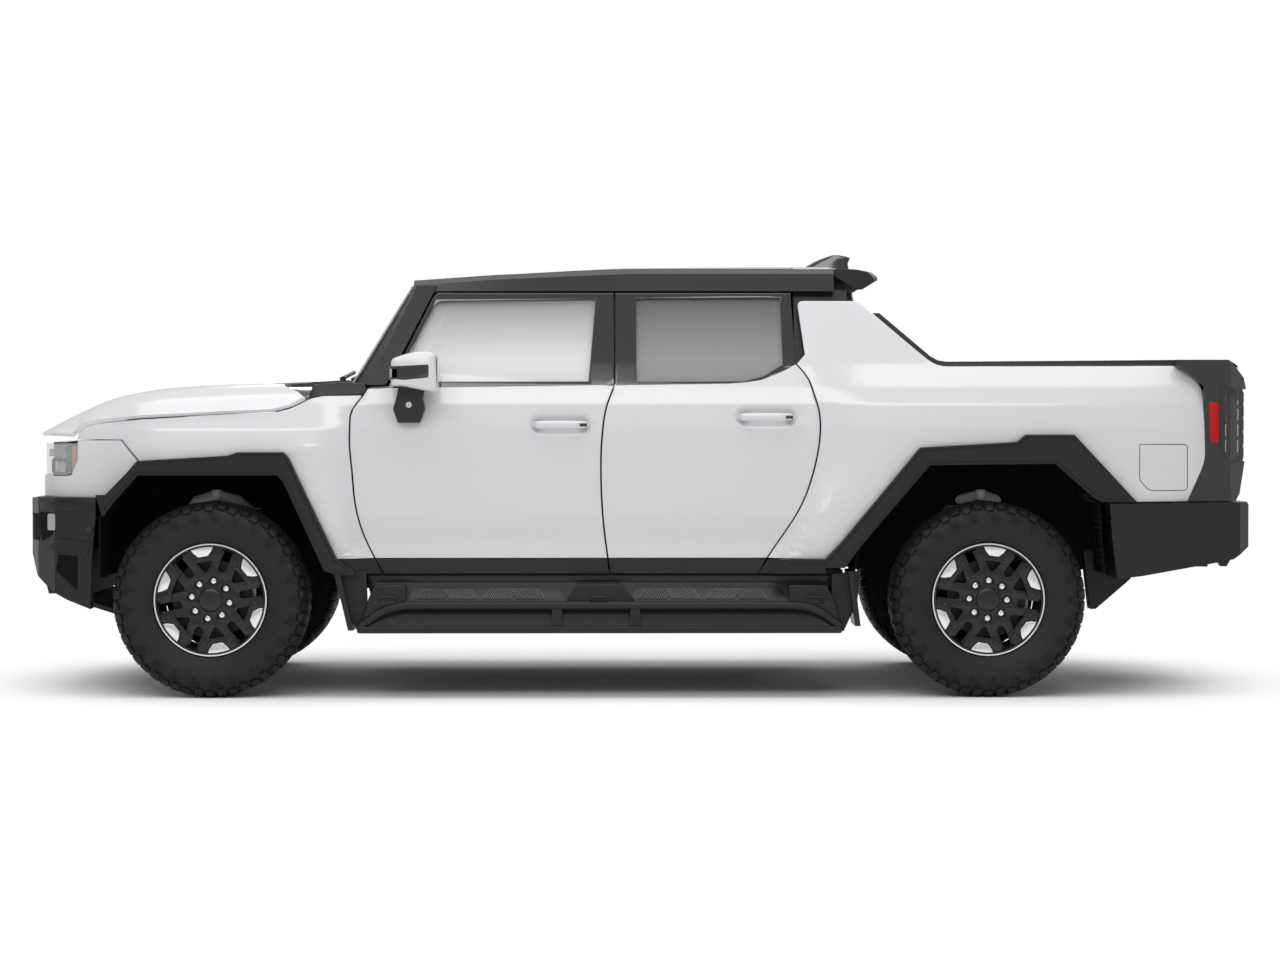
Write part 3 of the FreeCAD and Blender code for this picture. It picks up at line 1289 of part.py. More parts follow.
def rim_profile():
    """Barrel with both flanges and bead seats."""
    half = rim_width / 2
    seat_radius = rim_radius - 15
    lip = rim_radius - 7
    outer_side = [(rim_radius, half), (rim_radius, half - 9), (seat_radius, half - 9), (seat_radius, half - 40),
                  (barrel_radius + 6, half - 60)]
    outside = [*outer_side, *[(r, -w) for r, w in reversed(outer_side)]]
    inside = [(lip, -half), (barrel_radius, -half + 9), (barrel_radius, half - 9), (lip, half)]
    return [*outside, *inside]


def about_axle(points, turn):
    """Points given as (across, outwards from the axle), turned clockwise about the axle."""
    c, s = math.cos(math.radians(turn)), math.sin(math.radians(turn))
    return [V(x * c + z * s, 0, -x * s + z * c) for x, z in points]


def pad(points, y_from, y_to):
    return Part.Face(wire([p + V(0, y_from, 0) for p in points])).extrude(V(0, y_to - y_from, 0))


SPOKE_COUNT = 6
LONG_SLOT = [(-18, 214), (18, 214), (18, 146), (10, 132), (-10, 132), (-18, 146)]
WEDGE_SLOT = [(-36, 170), (36, 170), (17, 137), (8, 122), (-8, 122), (-17, 137)]
SEGMENT = [(-54, 232), (-18, 241), (18, 241), (54, 232), (40, 212), (21, 193), (-21, 193), (-40, 212)]
BRACKET = [(58, 228), (80, 224), (74, 168), (26, 170), (26, 187), (44, 207)]
HUB_NUT = [(13 * math.sin(math.radians(60 * i)), 84 + 13 * math.cos(math.radians(60 * i))) for i in range(6)]


def spoke_plate(turn, y_face):
    """The spoke plate seen from outside: slots, raised segments with their brackets, hub nuts and cap."""
    depth = spoke_depth.number
    disc = Part.makeCylinder(barrel_radius.number + 3, depth, V(0, y_face, 0), V(0, 1, 0))
    dish = Part.makeCone(150, 96, 12, V(0, y_face - 0.1, 0), V(0, 1, 0))
    slots, raised = [], []
    for index in range(SPOKE_COUNT):
        at = turn + index * 360 / SPOKE_COUNT
        slots.append(pad(about_axle(LONG_SLOT, at + 30), y_face - 1, y_face + depth + 1))
        slots.append(pad(about_axle(WEDGE_SLOT, at), y_face - 1, y_face + depth + 1))
        raised.append(pad(about_axle(SEGMENT, at), y_face - 9, y_face + 8))
        raised.append(pad(about_axle(BRACKET, at), y_face - 6, y_face + 8))
        raised.append(pad(about_axle([(-x, z) for x, z in BRACKET], at), y_face - 6, y_face + 8))
    for index in range(8):
        raised.append(pad(about_axle(HUB_NUT, turn + 18 + 45 * index), y_face - 6, y_face + 16))
    cap = Part.makeCone(54, 44, 16, V(0, y_face + 12, 0), V(0, -1, 0))
    keep = Part.makeCylinder(barrel_radius.number + 5, depth + 40, V(0, y_face - 20, 0), V(0, 1, 0))
    return disc.cut([dish, *slots]).fuse([*raised, cap]).common(keep)


def wheel(label, axle, side_sign, turn):
    """Tyre and rim about one axle end; the spoke face looks outwards."""
    y = -tyre_y if side_sign < 0 else tyre_y
    tyre = formed(f"tyre_{label}_solid", tyre_form)
    place(tyre, axle, y, hub_z)
    node(f"tyre_{label}", grouped(f"tyre_{label}", tyre))
    barrel = turned(f"rim_{label}_barrel", rim_profile(), "V_Axis", (axle, y, hub_z))
    spokes = spoke_plate(turn, -60 - spoke_depth.number)
    if side_sign > 0:
        spokes = spokes.mirror(V(0, 0, 0), V(0, 1, 0))
    face = formed(f"rim_{label}_spokes", spokes)
    place(face, axle, y, hub_z)
    hub_start = kingpin_y + 35 + hub_gap
    hub_length = tyre_y + 62 - hub_start
    hub_y = -hub_start - hub_length if side_sign < 0 else hub_start
    hub = rod(f"rim_{label}_hub", axle, hub_y, hub_z, "Y", 74, hub_length)
    brake_y = -hub_start - 34 if side_sign < 0 else hub_start + 6
    brake = rod(f"rim_{label}_brake", axle, brake_y, hub_z, "Y", 186, 28)
    node(f"rim_{label}", fused(f"rim_{label}", barrel, face, hub, brake))


SEGMENT_TURN = {"front": -9.3, "rear": 7.2}
for end_name, axle in {"front": front_axle, "rear": rear_axle}.items():
    for side_name, side_sign in {"left": -1, "right": 1}.items():
        wheel(f"{end_name}_{side_name}", axle, side_sign, SEGMENT_TURN[end_name])

node("light_bar", grouped("light_bar", *bars))


# Chassis rails: two box rails ahead of the cab and two behind it, with their cross members

def chassis_rails():
    rail_in, rail_out, rail_low, rail_high = 420, 495, 640, 730
    pieces = {"front": [], "rear": []}
    spans = {"front": (fx(-760), fx(609.7)), "rear": (rx(-499.7), rx(1080))}
    posts = {"front": [(fx(-440), fx(-380)), (fx(240), fx(300))],
             "rear": [(rx(-460), rx(-400)), (rx(200), rx(260)), (rx(960), rx(1020))]}
    post_top = {"front": 880, "rear": bed_floor_height - bed_wall}
    for end_name, span in spans.items():
        for sign in (-1, 1):
            y_span = (-rail_out, -rail_in) if sign < 0 else (rail_in, rail_out)
            pieces[end_name].append(block(f"{end_name}_rail_{sign}", span, y_span, (rail_low, rail_high)))
            for i, post in enumerate(posts[end_name]):
                pieces[end_name].append(block(f"{end_name}_post_{sign}_{i}", post, y_span,
                                              (rail_high, post_top[end_name])))
    for sign in (-1, 1):
        y_span = (-551.7, -rail_out) if sign < 0 else (rail_out, 551.7)
        pieces["front"].append(block(f"liner_brace_{sign}", (fx(300), fx(380)), y_span, (rail_low, rail_high)))
    pieces["front"].append(block("front_cross", (fx(-800), fx(-705)), (-620, 620), (rail_low, rail_high)))
    pieces["rear"].append(block("rear_cross", (rx(1020), rx(1110)), (-620, 620), (rail_low, rail_high)))
    front = cut("front_rails", fused("front_rail_set", *pieces["front"]), nodes["front_bumper"])
    rear = cut("rear_rails", fused("rear_rail_set", *pieces["rear"]), nodes["rear_bumper"])
    return grouped("chassis_rails", front, rear)


node("chassis_rails", chassis_rails())


# Hitch receiver: a square tube on a bracket under the rear cross member

receiver_half, receiver_wall = 40, 8
receiver_outer = block("receiver_outer", (rx(960), rx(1150)), (-receiver_half, receiver_half), (530, 610))
receiver_bore = block("receiver_bore", (rx(950), rx(1160)),
                      (-receiver_half + receiver_wall, receiver_half - receiver_wall),
                      (530 + receiver_wall, 610 - receiver_wall))
receiver_bracket = block("receiver_bracket", (rx(1020), rx(1080)), (-60, 60), (608, 640))
receiver_body = fused("receiver_body", receiver_outer, receiver_bracket)
node("hitch_receiver", cut("hitch_receiver", receiver_body, receiver_bore))


def finish():
    """Recompute, test every object and write one STEP file per node."""
    doc.recompute()
    bad = [o.Name for o in doc.Objects if {"Invalid", "Error"} & set(o.State)]
    for label, piece in nodes.items():
        shape = piece.Shape
        if shape.isNull() or not shape.isValid() or not shape.Solids:
            bad.append(label)
    if bad:
        raise RuntimeError(f"failed: {bad}")
    os.makedirs("parts", exist_ok=True)
    for label, piece in nodes.items():
        piece.Shape.exportStep(f"parts/{label}.step")
    print(len(nodes), "nodes written")


finish()
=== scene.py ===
"""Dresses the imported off-road pickup: smooth body skins, wheels with tread, lamps, glass and trim.

Sizes are in millimetres until a piece is made, where they become metres. The nose points along -X
and the left side lies at -Y. Side pieces are worked out on the left and mirrored.
"""
import math

import bmesh
import bpy
import numpy as np
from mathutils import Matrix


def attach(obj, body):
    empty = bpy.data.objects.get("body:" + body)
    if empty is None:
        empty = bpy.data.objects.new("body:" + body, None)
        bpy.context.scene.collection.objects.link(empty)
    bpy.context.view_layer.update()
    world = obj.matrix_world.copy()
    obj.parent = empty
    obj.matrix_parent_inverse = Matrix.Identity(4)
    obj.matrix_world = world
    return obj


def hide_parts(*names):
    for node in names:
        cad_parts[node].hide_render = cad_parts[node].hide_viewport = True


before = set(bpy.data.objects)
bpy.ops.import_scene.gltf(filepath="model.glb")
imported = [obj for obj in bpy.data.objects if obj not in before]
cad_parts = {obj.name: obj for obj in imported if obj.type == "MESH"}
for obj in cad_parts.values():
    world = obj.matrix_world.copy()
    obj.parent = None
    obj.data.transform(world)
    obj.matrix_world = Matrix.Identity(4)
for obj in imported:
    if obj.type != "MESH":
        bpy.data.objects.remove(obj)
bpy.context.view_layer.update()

MM = 0.001
FRONT = -1877.5
REAR = 1566.5
HUB = 433.0
TYRE_MID = 938.5
SIDES = {"left": -1.0, "right": 1.0}
AXLES = {"front": FRONT, "rear": REAR}
CORNERS = [(end, side_name) for end in AXLES for side_name in SIDES]


# Curves and blends as whole arrays

def soft_clip(t, softness=0.06):
    """A ramp from 0 to 1 with rounded ends: half the difference of two rounded absolute values."""
    return (np.sqrt(t * t + softness ** 2) - np.sqrt((t - 1) ** 2 + softness ** 2) + 1) / 2


def smooth_follow(values, knots, heights):
    """A smooth curve through knots: cubic runs whose slopes are the mean of their neighbours'."""
    knots = np.asarray(knots, float)
    heights = np.asarray(heights, float)
    slopes = np.gradient(heights, knots)
    values = np.clip(values, knots[0], knots[-1])
    i = np.clip(np.searchsorted(knots, values) - 1, 0, len(knots) - 2)
    step = knots[i + 1] - knots[i]
    t = (values - knots[i]) / step
    return ((2 * t ** 3 - 3 * t ** 2 + 1) * heights[i] + (t ** 3 - 2 * t ** 2 + t) * step * slopes[i]
            + (3 * t ** 2 - 2 * t ** 3) * heights[i + 1] + (t ** 3 - t ** 2) * step * slopes[i + 1])


def dense_line(points, spacing=12.0):
    """Points at even steps along straight runs between corners."""
    points = np.asarray(points, float)
    lengths = np.linalg.norm(np.diff(points, axis=0), axis=1)
    total = np.concatenate([[0], np.cumsum(lengths)])
    count = max(2, int(total[-1] / spacing) + 1)
    at = np.union1d(np.linspace(0, total[-1], count), total)
    return np.stack([np.interp(at, total, points[:, k]) for k in range(points.shape[1])], axis=1)


def rounded_line(points, radius=20.0, steps=4):
    """Corners replaced by short curves: each corner's two neighbours at the radius, blended."""
    points = [np.asarray(p, float) for p in points]
    out = [points[0]]
    for before, corner, after in zip(points, points[1:], points[2:]):
        a = before - corner
        b = after - corner
        cut_a = min(radius, np.linalg.norm(a) * 0.45)
        cut_b = min(radius, np.linalg.norm(b) * 0.45)
        start = corner + a / np.linalg.norm(a) * cut_a
        end = corner + b / np.linalg.norm(b) * cut_b
        t = np.linspace(0, 1, steps + 1)[:, None]
        out.extend((1 - t) ** 2 * start + 2 * t * (1 - t) * corner + t ** 2 * end)
    out.append(points[-1])
    return np.array(out)


def closed_outline(corners, radius, steps=4):
    """A closed outline with its corners rounded, all but the first."""
    return rounded_line([*corners, corners[0]], radius, steps)[:-1]


def full_turn(count):
    """Even angles round a full turn."""
    return np.linspace(0, 2 * np.pi, count, endpoint=False)


# Meshes

def face_outwards(mesh):
    """Turns the faces of a closed mesh outwards."""
    shape = bmesh.new()
    shape.from_mesh(mesh)
    if all(len(edge.link_faces) == 2 for edge in shape.edges):
        bmesh.ops.recalc_face_normals(shape, faces=shape.faces[:])
        shape.to_mesh(mesh)
    shape.free()


def to_piece(name, vertices, faces, material, body, smooth_angle=32.0, replaces=(), slot=None, mirror=False):
    """Puts arrays of vertices (mm) and faces into an object that rides on a body."""
    vertices = np.asarray(vertices, float).copy()
    if mirror:
        vertices[:, 1] *= -1
    mesh = bpy.data.meshes.new(name)
    faces = [[int(i) for i in face] for face in faces]
    if mirror:
        faces = [face[::-1] for face in faces]
    mesh.from_pydata((vertices * MM).tolist(), [], faces)
    mesh.validate()
    face_outwards(mesh)
    mesh.shade_smooth()
    mesh.set_sharp_from_angle(angle=math.radians(smooth_angle))
    mesh.materials.append(material)
    piece = bpy.data.objects.new(name, mesh)
    bpy.context.scene.collection.objects.link(piece)
    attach(piece, body)
    if replaces:
        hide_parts(*replaces)
    return piece


def thicken(piece, depth):
    """Gives a sheet its thickness, inwards."""
    solid = piece.modifiers.new("thickness", "SOLIDIFY")
    solid.thickness = depth * MM
    solid.offset = -1.0
    solid.use_even_offset = True
    return piece


def soften(piece, width, segments=2, angle=35.0):
    """Rounds a piece's sharp edges."""
    bevel = piece.modifiers.new("edges", "BEVEL")
    bevel.width = width * MM
    bevel.segments = segments
    bevel.limit_method = "ANGLE"
    bevel.angle_limit = math.radians(angle)
    bevel.harden_normals = True
    return piece


def grid_faces(rows, columns, closed_rows=False, closed_columns=False):
    """Four-sided faces between neighbouring points of a grid laid out row by row."""
    r = np.arange(rows if closed_rows else rows - 1)
    c = np.arange(columns if closed_columns else columns - 1)
    rr, cc = np.meshgrid(r, c, indexing="ij")
    r2 = (rr + 1) % rows
    c2 = (cc + 1) % columns
    return np.stack([rr * columns + cc, rr * columns + c2, r2 * columns + c2, r2 * columns + cc],
                    axis=-1).reshape(-1, 4)


def end_caps(rows, columns):
    """The faces that close a row of rings at its first and last ring."""
    return [list(range(columns))[::-1], [(rows - 1) * columns + k for k in range(columns)]]


def loft_faces(rows, columns):
    """The faces of a row of closed rings, with both ends closed."""
    return grid_faces(rows, columns, closed_columns=True).tolist() + end_caps(rows, columns)


def spread(x, y, z):
    """Three coordinates of matching shapes as a list of points."""
    return np.stack(np.broadcast_arrays(x, y, z), axis=-1).reshape(-1, 3)


def joined(*shapes):
    """Several (vertices, faces) pairs as one."""
    vertices, faces, start = [], [], 0
    for points, polygons in shapes:
        points = np.asarray(points, float)
        vertices.append(points)
        faces.extend([[i + start for i in polygon] for polygon in polygons])
        start += len(points)
    return np.concatenate(vertices), faces


def prism(outline, low, high, axis="y"):
    """An outline in two coordinates carried along the third, with flat ends."""
    outline = np.asarray(outline, float)
    n = len(outline)
    order = {"x": (2, 0, 1), "y": (0, 2, 1), "z": (0, 1, 2)}[axis]
    flat = {}
    for end in (low, high):
        full = np.column_stack([outline, np.full(n, float(end))])
        flat[end] = full[:, list(order)]
    area = np.sum(outline[:, 0] * np.roll(outline[:, 1], -1) - np.roll(outline[:, 0], -1) * outline[:, 1])
    flip = (area > 0) != (axis == "y")
    sides = [[i, (i + 1) % n, n + (i + 1) % n, n + i] for i in range(n)]
    caps = [list(range(n))[::-1], list(range(n, 2 * n))]
    faces = sides + caps
    if not flip:
        faces = [f[::-1] for f in faces]
    return np.concatenate([flat[low], flat[high]]), faces


def box(x, y, z):
    """A block between low and high limits on each axis."""
    outline = [(x[0], y[0]), (x[1], y[0]), (x[1], y[1]), (x[0], y[1])]
    return prism(outline, z[0], z[1], "z")


def lathe(profile, x, y, z, count=96, sign=-1.0):
    """A profile of (radius, outward distance) turned about an axle along Y."""
    profile = np.asarray(profile, float)
    r = profile[:, 0][None, :]
    a = full_turn(count)[:, None]
    points = spread(x + r * np.sin(a), y + sign * profile[:, 1][None, :], z + r * np.cos(a))
    faces = grid_faces(count, len(profile), closed_rows=True, closed_columns=True)
    if sign < 0:
        faces = faces[:, ::-1]
    return points, faces.tolist()


def tube(path, radius, sides=14, closed=False):
    """A round bar along a path: rings square to the path's direction, capped at open ends."""
    path = np.asarray(path, float)
    n = len(path)
    if closed:
        tangent = np.roll(path, -1, axis=0) - np.roll(path, 1, axis=0)
    else:
        tangent = np.gradient(path, axis=0)
    tangent /= np.linalg.norm(tangent, axis=1)[:, None]
    flat = np.linalg.svd(path - path.mean(axis=0))[2][2]
    up = np.array([0.0, 0.0, 1.0]) if abs(tangent[:, 2]).max() < 0.9 else flat
    side = np.cross(tangent, up)
    side /= np.linalg.norm(side, axis=1)[:, None]
    other = np.cross(side, tangent)
    a = full_turn(sides)
    radius = np.broadcast_to(np.asarray(radius, float), (n,))
    ring = side[:, None, :] * np.cos(a)[None, :, None] + other[:, None, :] * np.sin(a)[None, :, None]
    points = (path[:, None, :] + ring * radius[:, None, None]).reshape(-1, 3)
    faces = grid_faces(n, sides, closed_rows=closed, closed_columns=True)[:, ::-1].tolist()
    if not closed:
        faces.append(list(range(sides)))
        faces.append([(n - 1) * sides + k for k in range(sides)][::-1])
    return points, faces


# Materials

# Coat and glass roughness, and the heights in metres between which the glass's painted reflection changes
# tone
COAT_ROUGHNESS = 0.04
GLASS_ROUGHNESS = 0.02
GLASS_FADE = (1.50, 1.80)


def add_node(nodes, kind, inputs=(), **settings):
    """A new shader node with its settings and with starting values for some of its inputs."""
    node = nodes.new("ShaderNode" + kind)
    for key, value in settings.items():
        setattr(node, key, value)
    set_inputs(node, dict(inputs))
    return node


def set_inputs(node, values):
    """Gives a node's inputs their values."""
    for key, value in values.items():
        node.inputs[key].default_value = value


def new_material(name):
    """A material with its nodes, its links and its main shader."""
    material = bpy.data.materials.new(name)
    material.use_nodes = True
    nodes = material.node_tree.nodes
    return material, nodes, material.node_tree.links, nodes["Principled BSDF"]


def paint(name, color, roughness, metallic=0.0, coat=0.0, bump=0.0, bump_scale=400.0, shift=0.0, **sockets):
    """A node material: base colour with slight mottling, fine bump and optional clear coat."""
    material, nodes, links, shader = new_material(name)
    set_inputs(shader, {"Roughness": roughness, "Metallic": metallic, "Coat Weight": coat,
                        "Coat Roughness": COAT_ROUGHNESS})
    set_inputs(shader, {key.replace("_", " "): value for key, value in sockets.items()})
    place = add_node(nodes, "TexCoord")
    noise = add_node(nodes, "TexNoise", {"Scale": bump_scale, "Detail": 3.0})
    links.new(place.outputs["Object"], noise.inputs["Vector"])
    low = [c * (1 - shift) for c in color]
    high = [min(1.0, c * (1 + shift)) for c in color]
    mix = add_node(nodes, "Mix", data_type="RGBA")
    set_inputs(mix, {6: (*low, 1), 7: (*high, 1)})
    links.new(noise.outputs["Fac"], mix.inputs["Factor"])
    links.new(mix.outputs[2], shader.inputs["Base Color"])
    if bump:
        relief = add_node(nodes, "Bump", {"Strength": bump, "Distance": MM})
        links.new(noise.outputs["Fac"], relief.inputs["Height"])
        links.new(relief.outputs["Normal"], shader.inputs["Normal"])
    return material


def tinted(name, color, alpha):
    """Tinted glass: a dark see-through sheet with a clear reflection."""
    return paint(name, color, GLASS_ROUGHNESS, shift=0.02, Alpha=alpha, Specular_IOR_Level=0.7)


def graded(name, upper, lower, alpha):
    """Tinted glass with a painted reflection: lighter towards the belt, as a bright room's lower half shows
    in it.
    """
    material = tinted(name, lower, alpha)
    nodes = material.node_tree.nodes
    links = material.node_tree.links
    place = add_node(nodes, "TexCoord")
    split = add_node(nodes, "SeparateXYZ")
    height = add_node(nodes, "MapRange", {"From Min": GLASS_FADE[0], "From Max": GLASS_FADE[1]})
    mix = add_node(nodes, "Mix", data_type="RGBA")
    set_inputs(mix, {6: (*lower, 1), 7: (*upper, 1)})
    links.new(place.outputs["Object"], split.inputs[0])
    links.new(split.outputs["Z"], height.inputs["Value"])
    links.new(height.outputs["Result"], mix.inputs["Factor"])
    links.new(mix.outputs[2], nodes["Principled BSDF"].inputs["Base Color"])
    return material


WHITE = paint("white_paint", (0.575, 0.585, 0.60), 0.24, coat=0.5, bump=0.02, bump_scale=1800.0, shift=0.01)
GLOSS_BLACK = paint("gloss_black_paint", (0.009, 0.009, 0.010), 0.12, coat=0.8, bump=0.03, bump_scale=1500.0,
                    shift=0.2)
SATIN_BLACK = paint("satin_black_plastic", (0.009, 0.009, 0.010), 0.36, bump=0.12, bump_scale=900.0,
                    shift=0.2, Specular_IOR_Level=0.35)
GRAIN_BLACK = paint("grained_black_plastic", (0.008, 0.008, 0.009), 0.5, bump=0.4, bump_scale=700.0,
                    shift=0.2, Specular_IOR_Level=0.35)
# A dark grey a little lighter than the other black plastics, for the treads' raised hatching.
HATCH_GREY = paint("dark_grey_plastic", (0.055, 0.055, 0.057), 0.4, bump=0.2, bump_scale=500.0, shift=0.3)
LINER = paint("liner_felt", (0.004, 0.004, 0.0045), 0.9, bump=0.5, bump_scale=350.0, shift=0.3,
              Specular_IOR_Level=0.15)
TYRE = paint("tyre_rubber", (0.008, 0.008, 0.0085), 0.55, bump=0.35, bump_scale=260.0, shift=0.25,
             Specular_IOR_Level=0.3)
RIM_BLACK = paint("rim_satin_black", (0.007, 0.007, 0.008), 0.3, coat=0.15, bump=0.05, shift=0.2,
                  Specular_IOR_Level=0.35)
MACHINED = paint("machined_aluminium", (0.74, 0.75, 0.76), 0.24, metallic=1.0, bump=0.04, bump_scale=1200.0,
                 shift=0.04)
STEEL = paint("painted_steel", (0.014, 0.014, 0.015), 0.5, bump=0.2, bump_scale=250.0, shift=0.3)
ALLOY = paint("cast_alloy", (0.46, 0.47, 0.48), 0.42, metallic=0.9, bump=0.3, bump_scale=300.0, shift=0.12)
CAST_LIGHT = paint("cast_light_metal", (0.60, 0.61, 0.62), 0.45, metallic=0.15, bump=0.3, bump_scale=300.0,
                   shift=0.1)
CABIN = paint("cabin_plastic", (0.022, 0.022, 0.024), 0.6, bump=0.3, bump_scale=600.0, shift=0.2)
LEATHER = paint("seat_leather", (0.05, 0.05, 0.052), 0.5, bump=0.5, bump_scale=320.0, shift=0.2)
CARPET = paint("cabin_carpet", (0.02, 0.02, 0.022), 0.95, bump=0.8, bump_scale=900.0, shift=0.4)
BED_COAT = paint("bed_coating", (0.02, 0.02, 0.02), 0.8, bump=1.0, bump_scale=420.0, shift=0.3)
RED_LENS = paint("red_lens", (0.44, 0.002, 0.003), 0.25, coat=0.1, shift=0.1, Specular_IOR_Level=0.2)
AMBER = paint("amber_marker", (0.75, 0.22, 0.03), 0.15, coat=0.8, shift=0.1)
LAMP_WHITE = paint("lamp_white", (0.8, 0.8, 0.8), 0.2, coat=0.6, shift=0.02)
LAMP_GREY = paint("lamp_reflector", (0.42, 0.42, 0.43), 0.25, metallic=0.6, coat=0.4, shift=0.05)
CHROME = paint("bright_metal", (0.8, 0.81, 0.82), 0.08, metallic=1.0, shift=0.02)
# The graded glasses carry a painted reflection: lighter below, darker above.
FRONT_GLASS = graded("front_glass", (0.25, 0.26, 0.26), (0.73, 0.74, 0.73), 0.8)
WINDSCREEN = graded("windscreen_glass", (0.07, 0.075, 0.075), (0.22, 0.225, 0.22), 0.66)
REAR_GLASS = graded("rear_glass_tint", (0.10, 0.103, 0.107), (0.275, 0.28, 0.285), 0.88)
CLEAR_LENS = tinted("clear_lens", (0.55, 0.57, 0.58), 0.3)
SMOKED_LENS = tinted("smoked_lens", (0.03, 0.03, 0.03), 0.6)


def wear(node, material):
    """Gives a CAD node its finish."""
    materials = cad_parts[node].data.materials
    materials.clear()
    materials.append(material)


NODE_FINISH = [
    (WHITE, ["fenders", "bed_sides", "hood", "tailgate", "front_fascia", "front_door_left",
             "front_door_right", "rear_door_left", "rear_door_right", "mirror_left", "mirror_right"]),
    (GLOSS_BLACK, ["hood_insert", "cowl_panel", "roof_panels", "roof_spoiler", "grille_board",
                   "tail_posts"]),
    (SATIN_BLACK, ["cab_frame", "arch_trims", "front_bumper", "rear_bumper", "bash_plate", "side_steps"]),
    (WINDSCREEN, ["windscreen"]),
    (REAR_GLASS, ["rear_glass", "rear_door_glass_left", "rear_door_glass_right"]),
    (FRONT_GLASS, ["front_door_glass_left", "front_door_glass_right"]),
    (LINER, ["wheelhouse_liners"]),
    (CLEAR_LENS, ["headlamps"]),
    (LAMP_WHITE, ["light_bar"]),
    (STEEL, ["tow_hooks", "battery_case", "drive_units", "front_suspension", "rear_suspension",
             "chassis_rails", "hitch_receiver"]),
    (CARPET, ["frunk_tub", "cab_floor"]),
    (GRAIN_BLACK, ["wipers", "rail_caps"]),
    (CABIN, ["dashboard", "steering_wheel", "seats"]),
    (BED_COAT, ["bed_liner"]),
    (RED_LENS, ["tail_lamps"]),
]
for finish, node_names in NODE_FINISH:
    for node_name in node_names:
        wear(node_name, finish)
for node_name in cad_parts:
    for start, finish in (("tyre_", TYRE), ("rim_", RIM_BLACK), ("knuckle_", ALLOY)):
        if node_name.startswith(start):
            wear(node_name, finish)


# Tyres: a turned carcass with shoulder lugs, centre blocks and raised sidewall ribs

# Half the carcass from the crown to the bead, as (distance off the middle, radius), and the bead
TREAD_LINE = [(0, 421.5), (70, 421), (100, 419), (118, 414), (132, 404), (141, 392), (147, 376),
              (149.5, 360), (149.5, 344), (146, 325), (140, 303), (131, 280), (121, 262), (113, 252)]
BEAD = [(108, 249.8), (108, 238), (90, 236), (-90, 236), (-108, 238), (-108, 249.8)]
# Crown radius, and how far out the lugs' tops may reach
CROWN = 421.0
LUG_LIMIT = 432.6
CARCASS_STEPS = 150
SHOULDER_COUNT = 50
LONG_LUG = [92, 104, 118, 132, 142, 150]
SHORT_LUG = [86, 104, 118, 132, 140]
# Sidewall ribs: distances along the half section, left and right arc positions there
SIDEWALL_RIBS = [
    ([156, 170, 186], [-24, -20, -12], [-17, -13, -5]),
    ([184, 193, 202], [-13, -3, 6], [-2, 9, 18]),
    ([176, 186, 196], [16, 17, 12], [24, 25, 21]),
    ([156, 166, 176], [8, 11, 16], [15, 18, 23]),
    ([158, 168, 178], [-8, -6, -1], [-2, 0, 5]),
    ([174, 180, 186], [-2, 3, 8], [6, 10, 13]),
    ([156, 161, 166], [24, 24, 24], [31, 31, 31]),
]


def tread_point(q, height):
    """A point off the carcass: distance q along its half section from the crown, height above it."""
    line = np.asarray(TREAD_LINE, float)
    steps = np.linalg.norm(np.diff(line, axis=0), axis=1)
    along = np.concatenate([[0], np.cumsum(steps)])
    w = smooth_follow(q, along, line[:, 0])
    r = smooth_follow(q, along, line[:, 1])
    ahead = q + 2.0
    dw = smooth_follow(ahead, along, line[:, 0]) - w
    dr = smooth_follow(ahead, along, line[:, 1]) - r
    size = np.hypot(dw, dr) + 1e-9
    return w - dr / size * height, r + dw / size * height


def lug_set(count, q_line, left, right, height, phase, side):
    """Raised blocks repeated round the tyre.

    Each block runs along the half section through q_line, between a left and a right arc position in
    millimetres; its flanks lean in by 0.3 of its height from foot to shoulder and again to the top.
    """
    q = np.asarray(q_line, float)
    left = np.asarray(left, float)
    right = np.asarray(right, float)
    taper = 0.3 * height
    cross = [(left - taper, -1.0), (left, height * 0.7), (left + taper, height), (right - taper, height),
             (right, height * 0.7), (right + taper, -1.0)]
    rows = []
    for arc_place, lift in cross:
        w, r = tread_point(q, lift)
        rows.append(np.stack([arc_place / CROWN, r, w * side], axis=-1))
    block = np.stack(rows, axis=1)
    n, m = block.shape[:2]
    turns = (np.arange(count) + phase) * 2 * np.pi / count
    points = np.repeat(block.reshape(1, n * m, 3), count, axis=0)
    points[:, :, 0] += turns[:, None]
    faces = grid_faces(n, m).tolist() + end_caps(n, m)
    if side > 0:
        faces = [f[::-1] for f in faces]
    all_faces = [[i + k * n * m for i in f] for k in range(count) for f in faces]
    return points.reshape(-1, 3), all_faces


def tyre_shapes():
    """Every raised part of a tyre in (angle, radius, outward distance).

    On each half: long and short shoulder lugs in turn, two rows of centre blocks, sidewall ribs.
    """
    wide = 2 * np.pi * CROWN / SHOULDER_COUNT * 0.40
    edge = -wide * np.array([1, 1, 1, 0.95, 0.9, 0.9])
    short_edge = edge[:5]
    shapes = []
    for side, inner_phase in ((1.0, 0.0), (-1.0, 0.5)):
        shapes += [
            lug_set(SHOULDER_COUNT // 2, LONG_LUG, edge, -edge * 0.92, 11.5, 0.0, side),
            lug_set(SHOULDER_COUNT // 2, SHORT_LUG, short_edge * 0.9, -short_edge, 10.5, 0.5, side),
            lug_set(SHOULDER_COUNT, [48, 62, 80], [-14, -17, -22], [22, 18, 14], 11.5, 0.25, side),
            lug_set(SHOULDER_COUNT, [6, 22, 42], [-22, -16, -20], [16, 20, 15], 11.5, inner_phase, side),
        ]
        for rib in SIDEWALL_RIBS:
            shapes.append(lug_set(SHOULDER_COUNT // 2, *rib, 3.2, 0.2, side))
    return shapes


